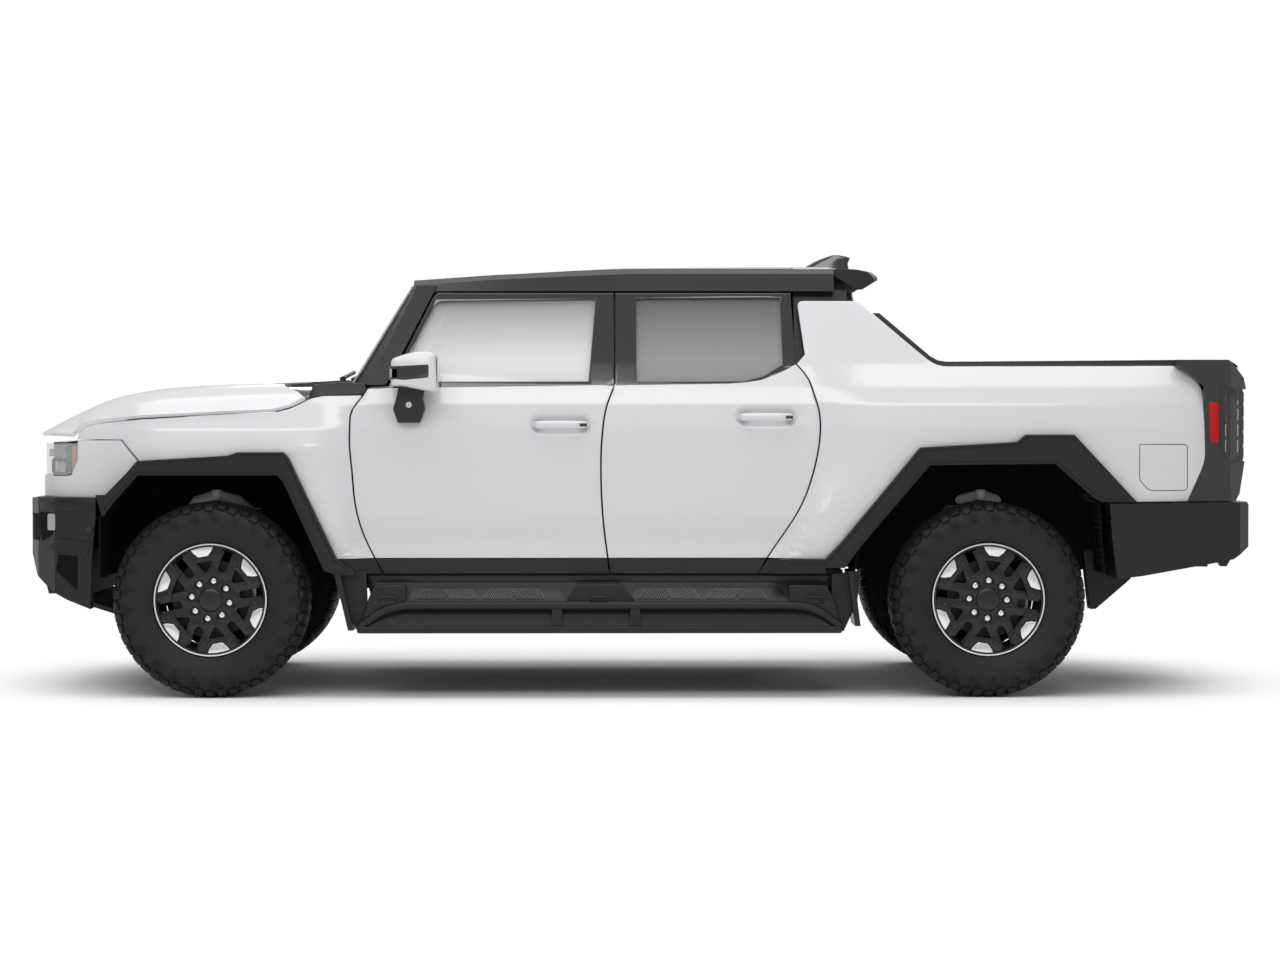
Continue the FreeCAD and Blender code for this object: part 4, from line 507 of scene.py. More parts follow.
def make_tyre(end, side_name):
    """A tyre at one corner, drawn in (angle, radius, distance) and carried to its axle."""
    side = SIDES[side_name]
    half = [(r, w) for w, r in TREAD_LINE]
    outline = [(r, -w) for r, w in reversed(half)] + half[1:] + [(r, w) for w, r in BEAD]
    grid = np.empty((CARCASS_STEPS, len(outline), 3))
    grid[..., 0] = full_turn(CARCASS_STEPS)[:, None]
    grid[..., 1:] = outline
    cells = grid_faces(CARCASS_STEPS, len(outline), closed_rows=True, closed_columns=True)
    polar, faces = joined((grid.reshape(-1, 3), cells.tolist()), *tyre_shapes())
    a, r, w = polar.T
    r = np.minimum(r, LUG_LIMIT)
    points = spread(AXLES[end] + r * np.sin(a), side * (TYRE_MID + w), HUB + r * np.cos(a))
    if side > 0:
        faces = [f[::-1] for f in faces]
    name = f"tyre_{end}_{side_name}"
    to_piece(name + "_rubber", points, faces, TYRE, f"{end}_wheel_{side_name}", 28.0, [name], "tyre")


# Rims: barrel, punched spoke plate, silver rim segments, brackets with bolts and lug nuts

def punched(outlines, depth, edge=1.0):
    """A flat plate with holes and softly broken edges, as (u, v, outward) points."""
    curve = bpy.data.curves.new("outline", "CURVE")
    curve.dimensions = "2D"
    curve.fill_mode = "BOTH"
    curve.extrude = max(depth / 2 - edge, 0.01) * MM
    curve.bevel_depth = edge * MM
    curve.bevel_resolution = 1
    curve.offset = -edge * MM
    for outline in outlines:
        flat = np.zeros((len(outline), 4))
        flat[:, :2] = np.asarray(outline, float) * MM
        spline = curve.splines.new("POLY")
        spline.points.add(len(outline) - 1)
        spline.points.foreach_set("co", flat.ravel())
        spline.use_cyclic_u = True
    holder = bpy.data.objects.new("outline", curve)
    mesh = bpy.data.meshes.new_from_object(holder)
    points = np.empty(len(mesh.vertices) * 3)
    mesh.vertices.foreach_get("co", points)
    points = points.reshape(-1, 3) / MM
    faces = [list(p.vertices) for p in mesh.polygons]
    bpy.data.objects.remove(holder)
    bpy.data.curves.remove(curve)
    bpy.data.meshes.remove(mesh)
    keys = np.round(points, 2)
    _, first, inverse = np.unique(keys, axis=0, return_index=True, return_inverse=True)
    inverse = inverse.ravel()
    faces = [[int(inverse[i]) for i in f] for f in faces]
    faces = [f for f in faces if len(set(f)) == len(f)]
    return points[first], faces


def polar_outline(corners):
    """Corners given as (degrees clockwise from the top, radius), as points in the plate."""
    a = np.radians([c[0] for c in corners])
    r = np.array([c[1] for c in corners], float)
    return np.stack([r * np.sin(a), r * np.cos(a)], axis=-1)


def arc(radius, start, end, steps=10):
    """Even places on a circle between two angles, as (degrees, radius)."""
    return [(a, radius) for a in np.linspace(start, end, steps)]


def polygon(count):
    """Corners of a regular polygon of radius 1, the first one at the top."""
    a = full_turn(count)
    return np.stack([np.sin(a), np.cos(a)], axis=-1)


def pointer(degrees):
    """Unit vectors in the rim's plane: outwards at an angle, and across that direction."""
    a = math.radians(degrees)
    return np.array([math.sin(a), math.cos(a)]), np.array([math.cos(a), -math.sin(a)])


def slot_outline(centre, inner, outer, half, round_inner):
    """A straight slot pointing at the axle, with a rounded inner end."""
    out, side = pointer(centre)
    points = [out * outer - side * half, out * outer + side * half]
    for t in np.linspace(0, math.pi, 9):
        points.append(out * (inner + round_inner - round_inner * math.sin(t)) + side * half * math.cos(t))
    return np.array(points)


def wedge_outline(centre, inner, outer, half_inner, half_outer):
    """A slot under a silver segment: wide outside, narrow and rounded inside."""
    out, side = pointer(centre)
    corners = [(-half_outer, outer), (half_outer, outer), (half_inner + 4, inner + 16),
               (half_inner - 6, inner + 2), (-half_inner + 6, inner + 2), (-half_inner - 4, inner + 16)]
    return np.array([side * s + out * r for s, r in corners])


def turned(end, side_name, profile, outward, count):
    """A profile turned about a wheel's axle, its distances measured from a plane off the tyre's middle."""
    side = SIDES[side_name]
    return lathe(profile, AXLES[end], side * (TYRE_MID + outward), HUB, count, side)


def upright(end, side_name, shape, outward):
    """A plate's (u, v, t) points set upright at a wheel, t outwards from a distance off the tyre's middle."""
    side = SIDES[side_name]
    points, faces = shape
    u, v, t = points.T
    placed = spread(AXLES[end] + u, side * (TYRE_MID + outward + t), HUB + v)
    if side < 0:
        faces = [f[::-1] for f in faces]
    return placed, faces


# The rim: where its face stands off the tyre's middle, how far its pattern is turned, and its profiles
RIM_FACE = 88.0
SEGMENT_TURN = {"front": -9.3, "rear": 7.2}
LUG_TURN = {"front": 9.0, "rear": 2.0}
NUT_CIRCLE = 84
BOLT_CIRCLE = 196
BARREL = [(236, 117.5), (248.5, 117.5), (249, 112), (247, 109), (235, 109.5), (234.5, 80), (226, 60),
          (226, -70), (234, -90), (234, -109), (248, -110), (248, -117.5), (236, -117.5), (228, -100),
          (219, -70), (219, 66), (224, 100)]
LIP = [(243.5, 117.9), (249.3, 117.9), (249.3, 114), (243.5, 114)]
HUB_FACE = [(0.1, -8), (114, -8), (118, -12), (118, -60), (60, -70), (0.1, -70)]
HUB_CAP = [(0.1, 22), (30, 22), (46, 20), (54, 14), (58, 4), (58, -8), (0.1, -8)]
BRAKE_DISC = [(60, 6), (176, 6), (176, -22), (60, -22)]
BRACKET = [(14, 241), (18.5, 240), (22.5, 236), (24, 178), (9, 173), (0, 173), (0, 192), (7.2, 192),
           (11.5, 214)]


def nut_centres(lug_turn):
    """Centres of the eight nuts in the rim's plane."""
    return [pointer(lug_turn + 45 * k)[0] * NUT_CIRCLE for k in range(8)]


def rim_plate(turn, lug_turn):
    """The spoke plate's outlines: outer edge, long slots, wedge slots and round wells for the nuts."""
    outlines = [polar_outline(arc(241, 0, 356, 90))]
    for k in range(6):
        outlines.append(slot_outline(turn + 30 + 60 * k, 129, 226, 18, 16))
        outlines.append(wedge_outline(turn + 60 * k, 123, 170, 12, 36))
    outlines.extend(centre + polygon(24) * 22 for centre in nut_centres(lug_turn))
    return outlines


def segment_plates(turn):
    """Six raised segments, the brackets on both sides of each, and the brackets' bolts."""
    segments, brackets, bolts = [], [], []
    for k in range(6):
        c = turn + 60 * k
        inner = [(c + 10.5, 216), (c + 6.2, 195), (c - 6.2, 195), (c - 10.5, 216)]
        outline = polar_outline([*arc(243, c - 13, c + 13, 8), *inner])
        segments.append(punched([outline], 16, 2.0))
        for s in (-1, 1):
            outline = polar_outline([(c + s * away, radius) for away, radius in BRACKET])
            brackets.append(punched([outline[::-s]], 14, 1.5))
            centre = pointer(c + s * 16.6)[0] * BOLT_CIRCLE
            points, faces = punched([centre + polygon(6) * 7.5], 9, 1.2)
            points[:, 2] += 8
            bolts.append((points, faces))
    return joined(*segments), joined(*brackets), joined(*bolts)


def make_rim(end, side_name):
    """One rim: barrel, lip, spokes, segments with bolted brackets, nuts, hub, cap and brake disc."""
    wheel = (end, side_name)
    name = f"rim_{end}_{side_name}"
    body = f"{end}_wheel_{side_name}"
    spokes = punched(rim_plate(SEGMENT_TURN[end], LUG_TURN[end]), 30, 2.5)
    segments, brackets, bolts = segment_plates(SEGMENT_TURN[end])
    nuts = joined(*[punched([centre + polygon(6) * 13.5], 34, 3.5) for centre in nut_centres(LUG_TURN[end])])
    bar = upright(*wheel, punched([rounded_rectangle(0, 0, 88, 17, 3)], 5, 1), RIM_FACE + 24)
    to_piece(name + "_barrel", *turned(*wheel, BARREL, 0, 120), RIM_BLACK, body, 30, [name], "rim_dark")
    pieces = [
        ("lip", turned(*wheel, LIP, 0, 120), MACHINED, 32),
        ("spokes", upright(*wheel, spokes, RIM_FACE - 4), RIM_BLACK, 30),
        ("segments", upright(*wheel, segments, RIM_FACE + 19), MACHINED, 30),
        ("brackets", upright(*wheel, brackets, RIM_FACE + 17), RIM_BLACK, 30),
        ("bolts", upright(*wheel, bolts, RIM_FACE + 19), STEEL, 30),
        ("nuts", upright(*wheel, nuts, RIM_FACE - 8), MACHINED, 30),
        ("hub", turned(*wheel, HUB_FACE, RIM_FACE, 72), RIM_BLACK, 32),
        ("cap", joined(turned(*wheel, HUB_CAP, RIM_FACE + 1, 64), bar), RIM_BLACK, 32),
        ("brake_disc", turned(*wheel, BRAKE_DISC, 20, 72), STEEL, 32),
    ]
    for part, shape, material, smooth_angle in pieces:
        to_piece(f"{name}_{part}", *shape, material, body, smooth_angle)


def rounded_rectangle(x, y, width, height, radius, steps=4):
    """A rectangle with round corners about a centre."""
    points = []
    for sx, sy, start in ((1, 1, 0), (-1, 1, 90), (-1, -1, 180), (1, -1, 270)):
        for t in np.linspace(start, start + 90, steps):
            points.append((x + sx * (width / 2 - radius) + radius * math.cos(math.radians(t)),
                           y + sy * (height / 2 - radius) + radius * math.sin(math.radians(t))))
    return np.array(points)


for corner in CORNERS:
    make_tyre(*corner)
    make_rim(*corner)


# Body sides: half width over length and height, the same surface for every side panel

# Columns: height, half width, share of the flare at the front wheels and at the rear ones
LEVELS = [(545, 985, .95, .95), (614, 992, 1, 1), (690, 978, 1.25, 1.25), (815, 1005, .95, .95),
          (1100, 1002, 1, 1), (1190, 1000, .72, 1), (1300, 985, 0, .95), (1372, 962, 0, .8),
          (1480, 924, 0, .15), (1797, 803, 0, 0), (1817, 796, 0, 0)]
FLARE = 58.0
# Shut lines and flare creases as (distance behind an axle, height)
FRONT_SHUT = [(762, 545), (727, 607), (666, 739), (639, 845), (622, 1011), (613, 1100), (613, 1187),
              (622, 1270), (670, 1336), (692, 1372)]
MIDDLE_SHUT = [(1766, 545), (1757, 616), (1740, 748), (1727, 967), (1731, 1143), (1753, 1292), (1788, 1384)]
REAR_SHUT = [(-1019, 545), (-976, 619), (-898, 733), (-834, 837), (-807, 896), (-775, 993), (-752, 1097),
             (-743, 1189), (-746, 1254), (-768, 1338), (-801, 1423), (-847, 1478)]
FRONT_CREASE = [(634, 545), (622, 607), (448, 1090), (448, 1372)]
REAR_CREASE = [(-920, 545), (-840, 687), (-533, 1120), (-533, 1372)]
# The front flare's share and the narrowing of nose and tail, over the distance behind the axle
NOSE_SHARE = [(-790, 0), (-700, .2), (-600, .6), (-440, .9), (-270, 1), (0, 1)]
NOSE_TAPER = [(-830, 400), (-790, 361), (-752, 206), (-690, 113), (-590, 76), (-440, 53), (-322, 12),
              (-250, 0), (0, 0)]
TAIL_TAPER = [(600, 0), (860, 2), (930, 9), (980, 24)]
# Handle centres, half length and outer face of a grip, half a shut gap, and the bowls' size
HANDLES = [(-330.0, 1206.0), (583.0, 1240.0)]
GRIP_HALF = 131
GRIP_OUT = 1034.0
HALF_GAP = 3.5
BOWL_REACH = 92.0
BOWL_DEPTH = 17.0


def line_at(line, base, z):
    """Where a side line is at each height."""
    line = np.asarray(line, float)
    return base + smooth_follow(z, line[:, 1], line[:, 0])


def ramps(values, knots, heights, softness):
    """A line of straight runs with rounded corners: one rounded ramp for each run, added up."""
    total = np.full(np.shape(values), float(heights[0]))
    for low, high, start, end in zip(knots, knots[1:], heights, heights[1:]):
        total = total + (end - start) * soft_clip((values - low) / (high - low), softness / (high - low))
    return total


def handle_bowls(x, z):
    """Depth of the finger bowls behind the door handles: round-ended hollows with soft rims."""
    depth = 0.0
    for centre, height in HANDLES:
        along = np.maximum(np.abs(x - centre) - BOWL_REACH, 0.0)
        away = np.hypot(along, z - height)
        depth = depth + BOWL_DEPTH * (1 - soft_clip((away - 8.0) / 36.0, 0.12))
    return depth


def side_half(x, z):
    """Half width: the level's own width, the flares that rise from it, less the tapers of nose and tail."""
    levels = np.asarray(LEVELS, float)
    heights = levels[:, 0]
    half = ramps(z, heights, levels[:, 1], 9.0)
    front_level = ramps(z, heights, levels[:, 2], 10.0)
    rear_level = ramps(z, heights, levels[:, 3], 10.0)
    nose = np.asarray(NOSE_SHARE, float)
    front = smooth_follow(x - FRONT, nose[:, 0], nose[:, 1])
    crease = line_at(FRONT_CREASE, FRONT, z)
    shut = line_at(FRONT_SHUT, FRONT, z) - 14
    front = front * (1 - soft_clip((x - crease) / (shut - crease), 0.06))
    crease = line_at(REAR_CREASE, REAR, z)
    shut = line_at(REAR_SHUT, REAR, z) + 16
    rear = soft_clip((x - shut) / (crease - shut), 0.06)
    rear = rear - 0.3 * soft_clip((x - REAR - 640) / 180, 0.1) - 0.3 * soft_clip((x - REAR - 820) / 160, 0.1)
    taper = np.asarray(NOSE_TAPER, float)
    narrowing = smooth_follow(x - FRONT, taper[:, 0], taper[:, 1])
    tail = np.asarray(TAIL_TAPER, float)
    narrowing = narrowing + smooth_follow(x - REAR, tail[:, 0], tail[:, 1])
    return half + FLARE * (front * front_level + rear * rear_level) - narrowing - handle_bowls(x, z)


def cut_rows(points, faces, places, column):
    """Cuts flat faces along lines at given places of one coordinate, so that they can be bent."""
    mesh = bpy.data.meshes.new("flat")
    mesh.from_pydata(points.tolist(), [], faces)
    work = bmesh.new()
    work.from_mesh(mesh)
    normal = np.eye(3)[column]
    for place in places:
        parts = [*work.verts, *work.edges, *work.faces]
        bmesh.ops.bisect_plane(work, geom=parts, dist=0.01, plane_co=normal * place, plane_no=normal)
    work.to_mesh(mesh)
    work.free()
    out = np.empty(len(mesh.vertices) * 3)
    mesh.vertices.foreach_get("co", out)
    polygons = [list(p.vertices) for p in mesh.polygons]
    bpy.data.meshes.remove(mesh)
    return out.reshape(-1, 3), polygons


def line_places(low, high, step, fine=()):
    """Even places between two limits, with closer ones in the fine stretches."""
    places = list(np.arange(low + step / 2, high, step))
    for start, end, closer in fine:
        places = [p for p in places if not start < p < end]
        places += list(np.arange(start, end + 0.1, closer))
    return sorted(p for p in places if low < p < high)


# Spacing of the cuts that let a flat panel bend, closer at the levels' corners and the bowls
ROW_STEP = 36
COLUMN_STEP = 60
LEVEL_LINES = [(l[0] - 12, l[0] + 12, 6.0) for l in LEVELS[1:-1]]
BOWL_LINES = [(HANDLES[0][1] - 54, HANDLES[1][1] + 54, 8.0)]
BOWL_COLUMNS = [(c - 142, c + 142, 11.0) for c, _ in HANDLES]


def side_panel(outlines, depth, edge=3.0, sunk=0.0, inner=None, columns=(), rows=()):
    """A panel of the body side.

    A flat plate with the outlines (x, z) is cut into cells and its two faces are laid on the side
    surface: the outer one sunk by a given amount, the inner one a depth further in or on a plane.
    """
    points, faces = punched(outlines, depth, edge)
    low, high = points.min(axis=0), points.max(axis=0)
    points, faces = cut_rows(points, faces, line_places(low[1], high[1], ROW_STEP, [*LEVEL_LINES, *rows]), 1)
    points, faces = cut_rows(points, faces, line_places(low[0], high[0], COLUMN_STEP, columns), 0)
    x, z, t = points.T
    outer = side_half(x, z) - sunk
    inside = outer - depth if inner is None else np.full(len(x), float(inner))
    share = (depth / 2 - t) / depth
    y = -(outer + (inside - outer) * share)
    return spread(x, y, z), faces


def side_pieces(name, shape, material, body, replaces=(), slot=None, smooth=34.0):
    """A side shape as one piece on each side; body and replaced names take the side's name."""
    points, faces = shape
    pieces = []
    for side_name, side in SIDES.items():
        rides = body.format(side_name)
        nodes = [n.format(side_name) for n in replaces]
        pieces.append(to_piece(f"{name}_{side_name}", points, faces, material, rides, smooth, nodes, slot,
                               mirror=side > 0))
    return pieces


def shut_line(line, base, shift, low, high, steps=26):
    """A shut line between two heights as outline points, bottom first."""
    z = np.linspace(low, high, steps)
    return np.column_stack([line_at(line, base, z) + shift, z])


# Doors: heights of foot and sill, the inner shell, then belts, windows and frames in side view
DOOR_FOOT = 616.0
SILL = 545.0
SHELL_INSET = 40
SHELL_TOP = 1370
SHELL_INNER = 891
BELT_FRONT = [(-1181, 1367), (-1100, 1369), (-150, 1383)]
BELT_REAR = [(-88, 1382), (420, 1390), (500, 1396), (571, 1407), (660, 1443), (714, 1474)]
FRONT_WINDOW = [(-1059, 1398), (-889, 1748), (-871, 1757), (-174, 1769), (-206, 1400)]
REAR_WINDOW = [(7, 1398), (7, 1771), (654, 1775), (660, 1476), (574, 1424), (486, 1402)]
FRONT_FRAME = [(-1181, 1357), (-1100, 1359), (-150, 1373), (-90, 1384), (-94, 1797), (-882, 1797),
               (-904, 1773), (-1096, 1378), (-1181, 1373)]
REAR_FRAME = [(-88, 1372), (420, 1380), (500, 1386), (571, 1397), (660, 1433), (714, 1464), (718, 1480),
              (700, 1797), (-86, 1797)]


def between(lead, trail, belt):
    """A panel outline from its front line, its rear line and the line across its top, if any."""
    return np.concatenate([lead, np.reshape(np.asarray(belt, float), (-1, 2)), trail[::-1]])


def shifted(line, base):
    """A line measured from an axle, in its place."""
    return [(base + x, z) for x, z in line]


def make_doors(end, lead, trail, tops, belt, window, frame_line):
    """A pair of doors: white skin, black foot strip, black window frame and the inner shell.

    lead and trail are shut lines, each with the axle it is measured from; tops are the heights where
    the skin leaves them.
    """
    body = end + "_door_{}"
    skin = between(shut_line(*lead, HALF_GAP, DOOR_FOOT, tops[0]),
                   shut_line(*trail, -HALF_GAP, DOOR_FOOT, tops[1]), belt)
    shape = side_panel([skin], 7.0, 2.2, columns=BOWL_COLUMNS, rows=BOWL_LINES)
    side_pieces(f"{end}_door_skin", shape, WHITE, body, [body], "body_white")
    foot = between(shut_line(*lead, HALF_GAP, SILL, DOOR_FOOT - 3, 6),
                   shut_line(*trail, -HALF_GAP, SILL, DOOR_FOOT - 3, 6), [])
    side_pieces(f"{end}_door_foot", side_panel([foot], 10.0, 2.0), SATIN_BLACK, body)
    shape = side_panel([frame_line, window], 40.0, 3.0, sunk=2.5)
    side_pieces(f"{end}_door_frame", shape, GLOSS_BLACK, body)
    shell = between(shut_line(*lead, SHELL_INSET, SILL + 26, SHELL_TOP, 14),
                    shut_line(*trail, -SHELL_INSET, SILL + 26, SHELL_TOP, 14), [])
    shape = side_panel([shell], 90.0, 8.0, sunk=26, inner=SHELL_INNER)
    side_pieces(f"{end}_door_shell", shape, CABIN, body)


def make_handles():
    """Bowed grips over the finger bowls, with a dark sensor strip at the rear end."""
    s = np.linspace(-1, 1, 33)
    a = full_turn(20)
    round_end = (1 - np.abs(s) ** 8) ** 0.5 * 0.98 + 0.02
    bow = GRIP_OUT - 12 * s ** 2 - 20 * np.abs(s) ** 6
    y = -(bow[:, None] + 9 * np.cos(a)[None, :] * round_end[:, None])
    faces = loft_faces(33, 20)
    for (centre, height), end in zip(HANDLES, ("front", "rear")):
        x = centre + GRIP_HALF * s
        z = height + 1 + (17.5 * np.sin(a)[None, :]) * round_end[:, None]
        shape = (spread(x[:, None], y, z), faces)
        side_pieces(f"{end}_door_grip", shape, WHITE, end + "_door_{}", slot="body_white")
        feet = [box((centre + dx - 13, centre + dx + 13), (-1022, -985), (height - 9, height + 11))
                for dx in (-104, 104)]
        strip = box((centre + 86, centre + 116), (-1042.5, -1030), (height - 5, height + 7))
        side_pieces(f"{end}_door_grip_feet", joined(*feet, strip), GLOSS_BLACK, end + "_door_{}")


# Arches, sail, tail cut and hood edge as (distance behind an axle, height)
ARCH_FRONT = [(-458, 898), (-314, 1047), (82, 1070), (120, 1085), (326, 1085), (350, 1061), (560, 614)]
ARCH_REAR = [(-725, 612), (-649, 693), (-307, 1105), (122, 1130), (160, 1162), (376, 1162), (653, 865)]
SAIL_LINE = [(-563, 1761), (-340, 1566), (-258, 1496), (-226, 1476), (-190, 1467), (840, 1469)]
TAIL_CUT = [(902, 1434), (960, 1377), (968, 1047), (884, 867)]
HOOD_EDGE = [(-830, 1150), (-606, 1152), (-588, 1176), (-565, 1199), (-520, 1212), (-466, 1220), (-320, 1236),
             (72, 1257), (270, 1264), (350, 1284), (390, 1303), (440, 1328)]


def make_fenders():
    """White front fenders between hood, door and arch cladding, and the bed sides with their sails."""
    top = [(FRONT - 600, 1143), *[(FRONT + dx, z - 5) for dx, z in HOOD_EDGE[2:]], (FRONT + 490, 1334),
           (FRONT + 664, 1337)]
    rear_line = shut_line(FRONT_SHUT, FRONT, -HALF_GAP, DOOR_FOOT, 1326)
    arch = [*shifted(ARCH_FRONT, FRONT)[::-1][:-1], (FRONT - 314, 1052), (FRONT - 392, 1141)]
    outline = np.concatenate([top, rear_line[::-1], arch])
    side_pieces("fender_skin", side_panel([outline], 30.0, 2.5), WHITE, "body", ["fenders"], "body_white")
    front_line = shut_line(REAR_SHUT, REAR, HALF_GAP, DOOR_FOOT, 1478)
    sail = [(REAR - 807, 1519), (REAR - 838, 1761), *shifted(SAIL_LINE, REAR)]
    tail = rounded_line(shifted(TAIL_CUT, REAR), 40)
    outline = np.concatenate([front_line, rounded_line(sail, 30), tail, shifted(ARCH_REAR, REAR)[::-1]])
    side_pieces("bed_side_skin", side_panel([outline], 40.0, 3.0), WHITE, "body", ["bed_sides"], "body_white")


PORT_OUTLINE = [(668, 1120), (884, 1120), (884, 916), (712, 916), (668, 962)]


def make_port():
    """The seam of the charge flap in the left bed side."""
    line = rounded_line(shifted([*PORT_OUTLINE, PORT_OUTLINE[0]], REAR), 18)
    t = np.linspace(0, len(line) - 1, 160)
    x = np.interp(t, np.arange(len(line)), line[:, 0])
    z = np.interp(t, np.arange(len(line)), line[:, 1])
    path = spread(x, -(side_half(x, z) - 0.6), z)
    to_piece("charge_flap_seam", *tube(path[:-1], 1.7, 8, closed=True), GRAIN_BLACK, "body")


make_doors("front", (FRONT_SHUT, FRONT), (MIDDLE_SHUT, FRONT), (1366, 1380), BELT_FRONT, FRONT_WINDOW,
           FRONT_FRAME)
make_doors("rear", (MIDDLE_SHUT, FRONT), (REAR_SHUT, REAR), (1384, 1474), BELT_REAR, REAR_WINDOW,
           REAR_FRAME)
make_handles()
make_fenders()
make_port()


# Hood: crowned over its width, folded down at its sides, its front edge on the nose's plan

NOSE_PLAN = [(-824, 0), (-816, 350), (-796, 620), (-752, 800), (-690, 902), (-590, 962)]
HOOD_CROWN = [(-830, 1146), (-808, 1158), (-780, 1172), (-735, 1195), (-688, 1218), (-640, 1240),
              (-591, 1262), (-540, 1283), (-466, 1309), (-320, 1336), (-120, 1354), (72, 1364),
              (200, 1369), (320, 1372), (450, 1374)]
# How far the hood has dropped from crown to edge, over the distance across; the last value rounds it
SHOULDER = ([0.0, 0.84, 0.955, 1.0], [0.0, 0.0, 0.32, 1.0], 0.03)
HOOD_NOSE_HALF = 957.0
SIDE_START = -600.0
INSERT_SIDE = [(20, 1356), (34, 1369), (93, 1385), (188, 1391), (300, 1397), (412, 1402), (424, 1356),
               (200, 1344), (60, 1346)]


def hood_surface(x, v, start):
    """Hood width and height at a distance x from the front axle, v from -1 to 1 across.

    Near the nose the crown's profile is shifted back to where the curved front edge starts; the
    height falls from crown to edge as a rounded shoulder and two soft creases flank the middle.
    """
    crown_line = np.asarray(HOOD_CROWN, float)
    edge_line = np.asarray(HOOD_EDGE, float)
    share = np.clip((x - start) / (430 - start), 0, 1)
    lag = (start - NOSE_PLAN[0][0]) * 0.85 * (1 - share) ** 3
    crown = smooth_follow(x - lag, crown_line[:, 0], crown_line[:, 1])
    edge = sum(np.interp(x + dx, edge_line[:, 0], edge_line[:, 1]) for dx in (0, -12, 12)) / 3
    side = side_half(FRONT + np.maximum(x, SIDE_START), edge) - 1
    half = np.where(x < SIDE_START, HOOD_NOSE_HALF, side)
    across = np.abs(v)
    shoulder = ramps(across, *SHOULDER) / ramps(np.ones(1), *SHOULDER)
    crease = 7 * (1 - soft_clip((across - 0.50) / 0.05, 0.3)) * soft_clip((x + 560) / 260, 0.2)
    z = crown + 5 * (1 - across ** 2) - (crown - edge) * shoulder
    return half * v, z + crease * (1 - soft_clip((x - 60) / 200, 0.2))


def nose_start(v):
    """Where the hood's front edge is for each place across."""
    plan = np.asarray(NOSE_PLAN, float)
    return smooth_follow(np.abs(v) * HOOD_NOSE_HALF, plan[:, 1], plan[:, 0]) - 2


def make_hood():
    """White hood, its black raised insert, and the black apron between its rear edge and the cowl."""
    rows, columns = 72, 131
    u, v = np.meshgrid(np.linspace(0, 1, rows) ** 1.35, np.sin(np.linspace(-0.5, 0.5, columns) * np.pi),
                       indexing="ij")
    start = nose_start(v)
    end = 428 - 122 * (1 - soft_clip((np.abs(v) - 0.86) / 0.14, 0.2))
    x = start + (end - start) * u
    y, z = hood_surface(x, v, start)
    shape = (spread(FRONT + x, y, z), grid_faces(rows, columns))
    skin = to_piece("hood_skin", *shape, WHITE, "hood", 40, ["hood"], "body_white")
    thicken(skin, 16)
    soften(skin, 2.5, 2, 50)
    u, v = np.meshgrid(np.linspace(0, 1, 14), np.linspace(-1, 1, 61), indexing="ij")
    x = 286 + (438 - 286) * u
    y, z = hood_surface(x, v, nose_start(v))
    shape = (spread(FRONT + x, y * 0.985, z - 7), grid_faces(14, 61))
    thicken(to_piece("hood_apron", *shape, GLOSS_BLACK, "hood", 40), 9)
    points, faces = punched([INSERT_SIDE], 880, 6.0)
    placed = points[:, [0, 2, 1]] + [FRONT, 0, 0]
    to_piece("hood_black_insert", placed, faces, GLOSS_BLACK, "hood", 30, ["hood_insert"], "gloss_black")


def make_black_fillers():
    """Black corners at the windscreen's foot, and the sill pieces ahead of and behind the doors."""
    corner = [(-1442, 1326), (-1384, 1331), (-1200, 1340), (-1190, 1366), (-1200, 1390), (-1300, 1397),
              (-1424, 1386)]
    side_pieces("cowl_corner", side_panel([corner], 110, 5.0, sunk=4), SATIN_BLACK, "body")
    front = [(-1322, 612), (-1152, 612), (-1120, 547), (-1300, 547)]
    rear = [(546, 547), (592, 611), (846, 611), (846, 547)]
    for label, outline in (("front", front), ("rear", rear)):
        side_pieces(f"sill_{label}", side_panel([outline], 60, 3.0, sunk=3), SATIN_BLACK, "body")


make_hood()
make_black_fillers()


# Nose: panels laid on the plan curve, headlamps behind clear lenses, bumper trim

FASCIA_PLAN = [(-824, 0), (-822, 150), (-816, 350), (-796, 620), (-752, 800), (-690, 902), (-590, 962),
               (-440, 1000), (-322, 1046)]
BUMPER_PLAN = [(-876, 0), (-868, 420), (-840, 700), (-790, 850), (-700, 962), (-560, 1024), (-440, 1070)]


def plan_curve(plan, count=240):
    """A smooth plan line from the centre plane outwards: (x, y, length along it)."""
    plan = np.asarray(plan, float)
    chord = np.concatenate([[0], np.cumsum(np.hypot(*np.diff(plan, axis=0).T))])
    s = np.linspace(0, chord[-1], count)
    x = smooth_follow(s, chord, plan[:, 0])
    y = smooth_follow(s, chord, plan[:, 1])
    along = np.concatenate([[0], np.cumsum(np.hypot(np.diff(x), np.diff(y)))])
    return x, y, along


def plan_length(plan, column, value):
    """Distance along a plan line where its x (column 0) or y (column 1) takes a value."""
    x, y, along = plan_curve(plan)
    return float(np.interp(value, (x, y)[column], along))


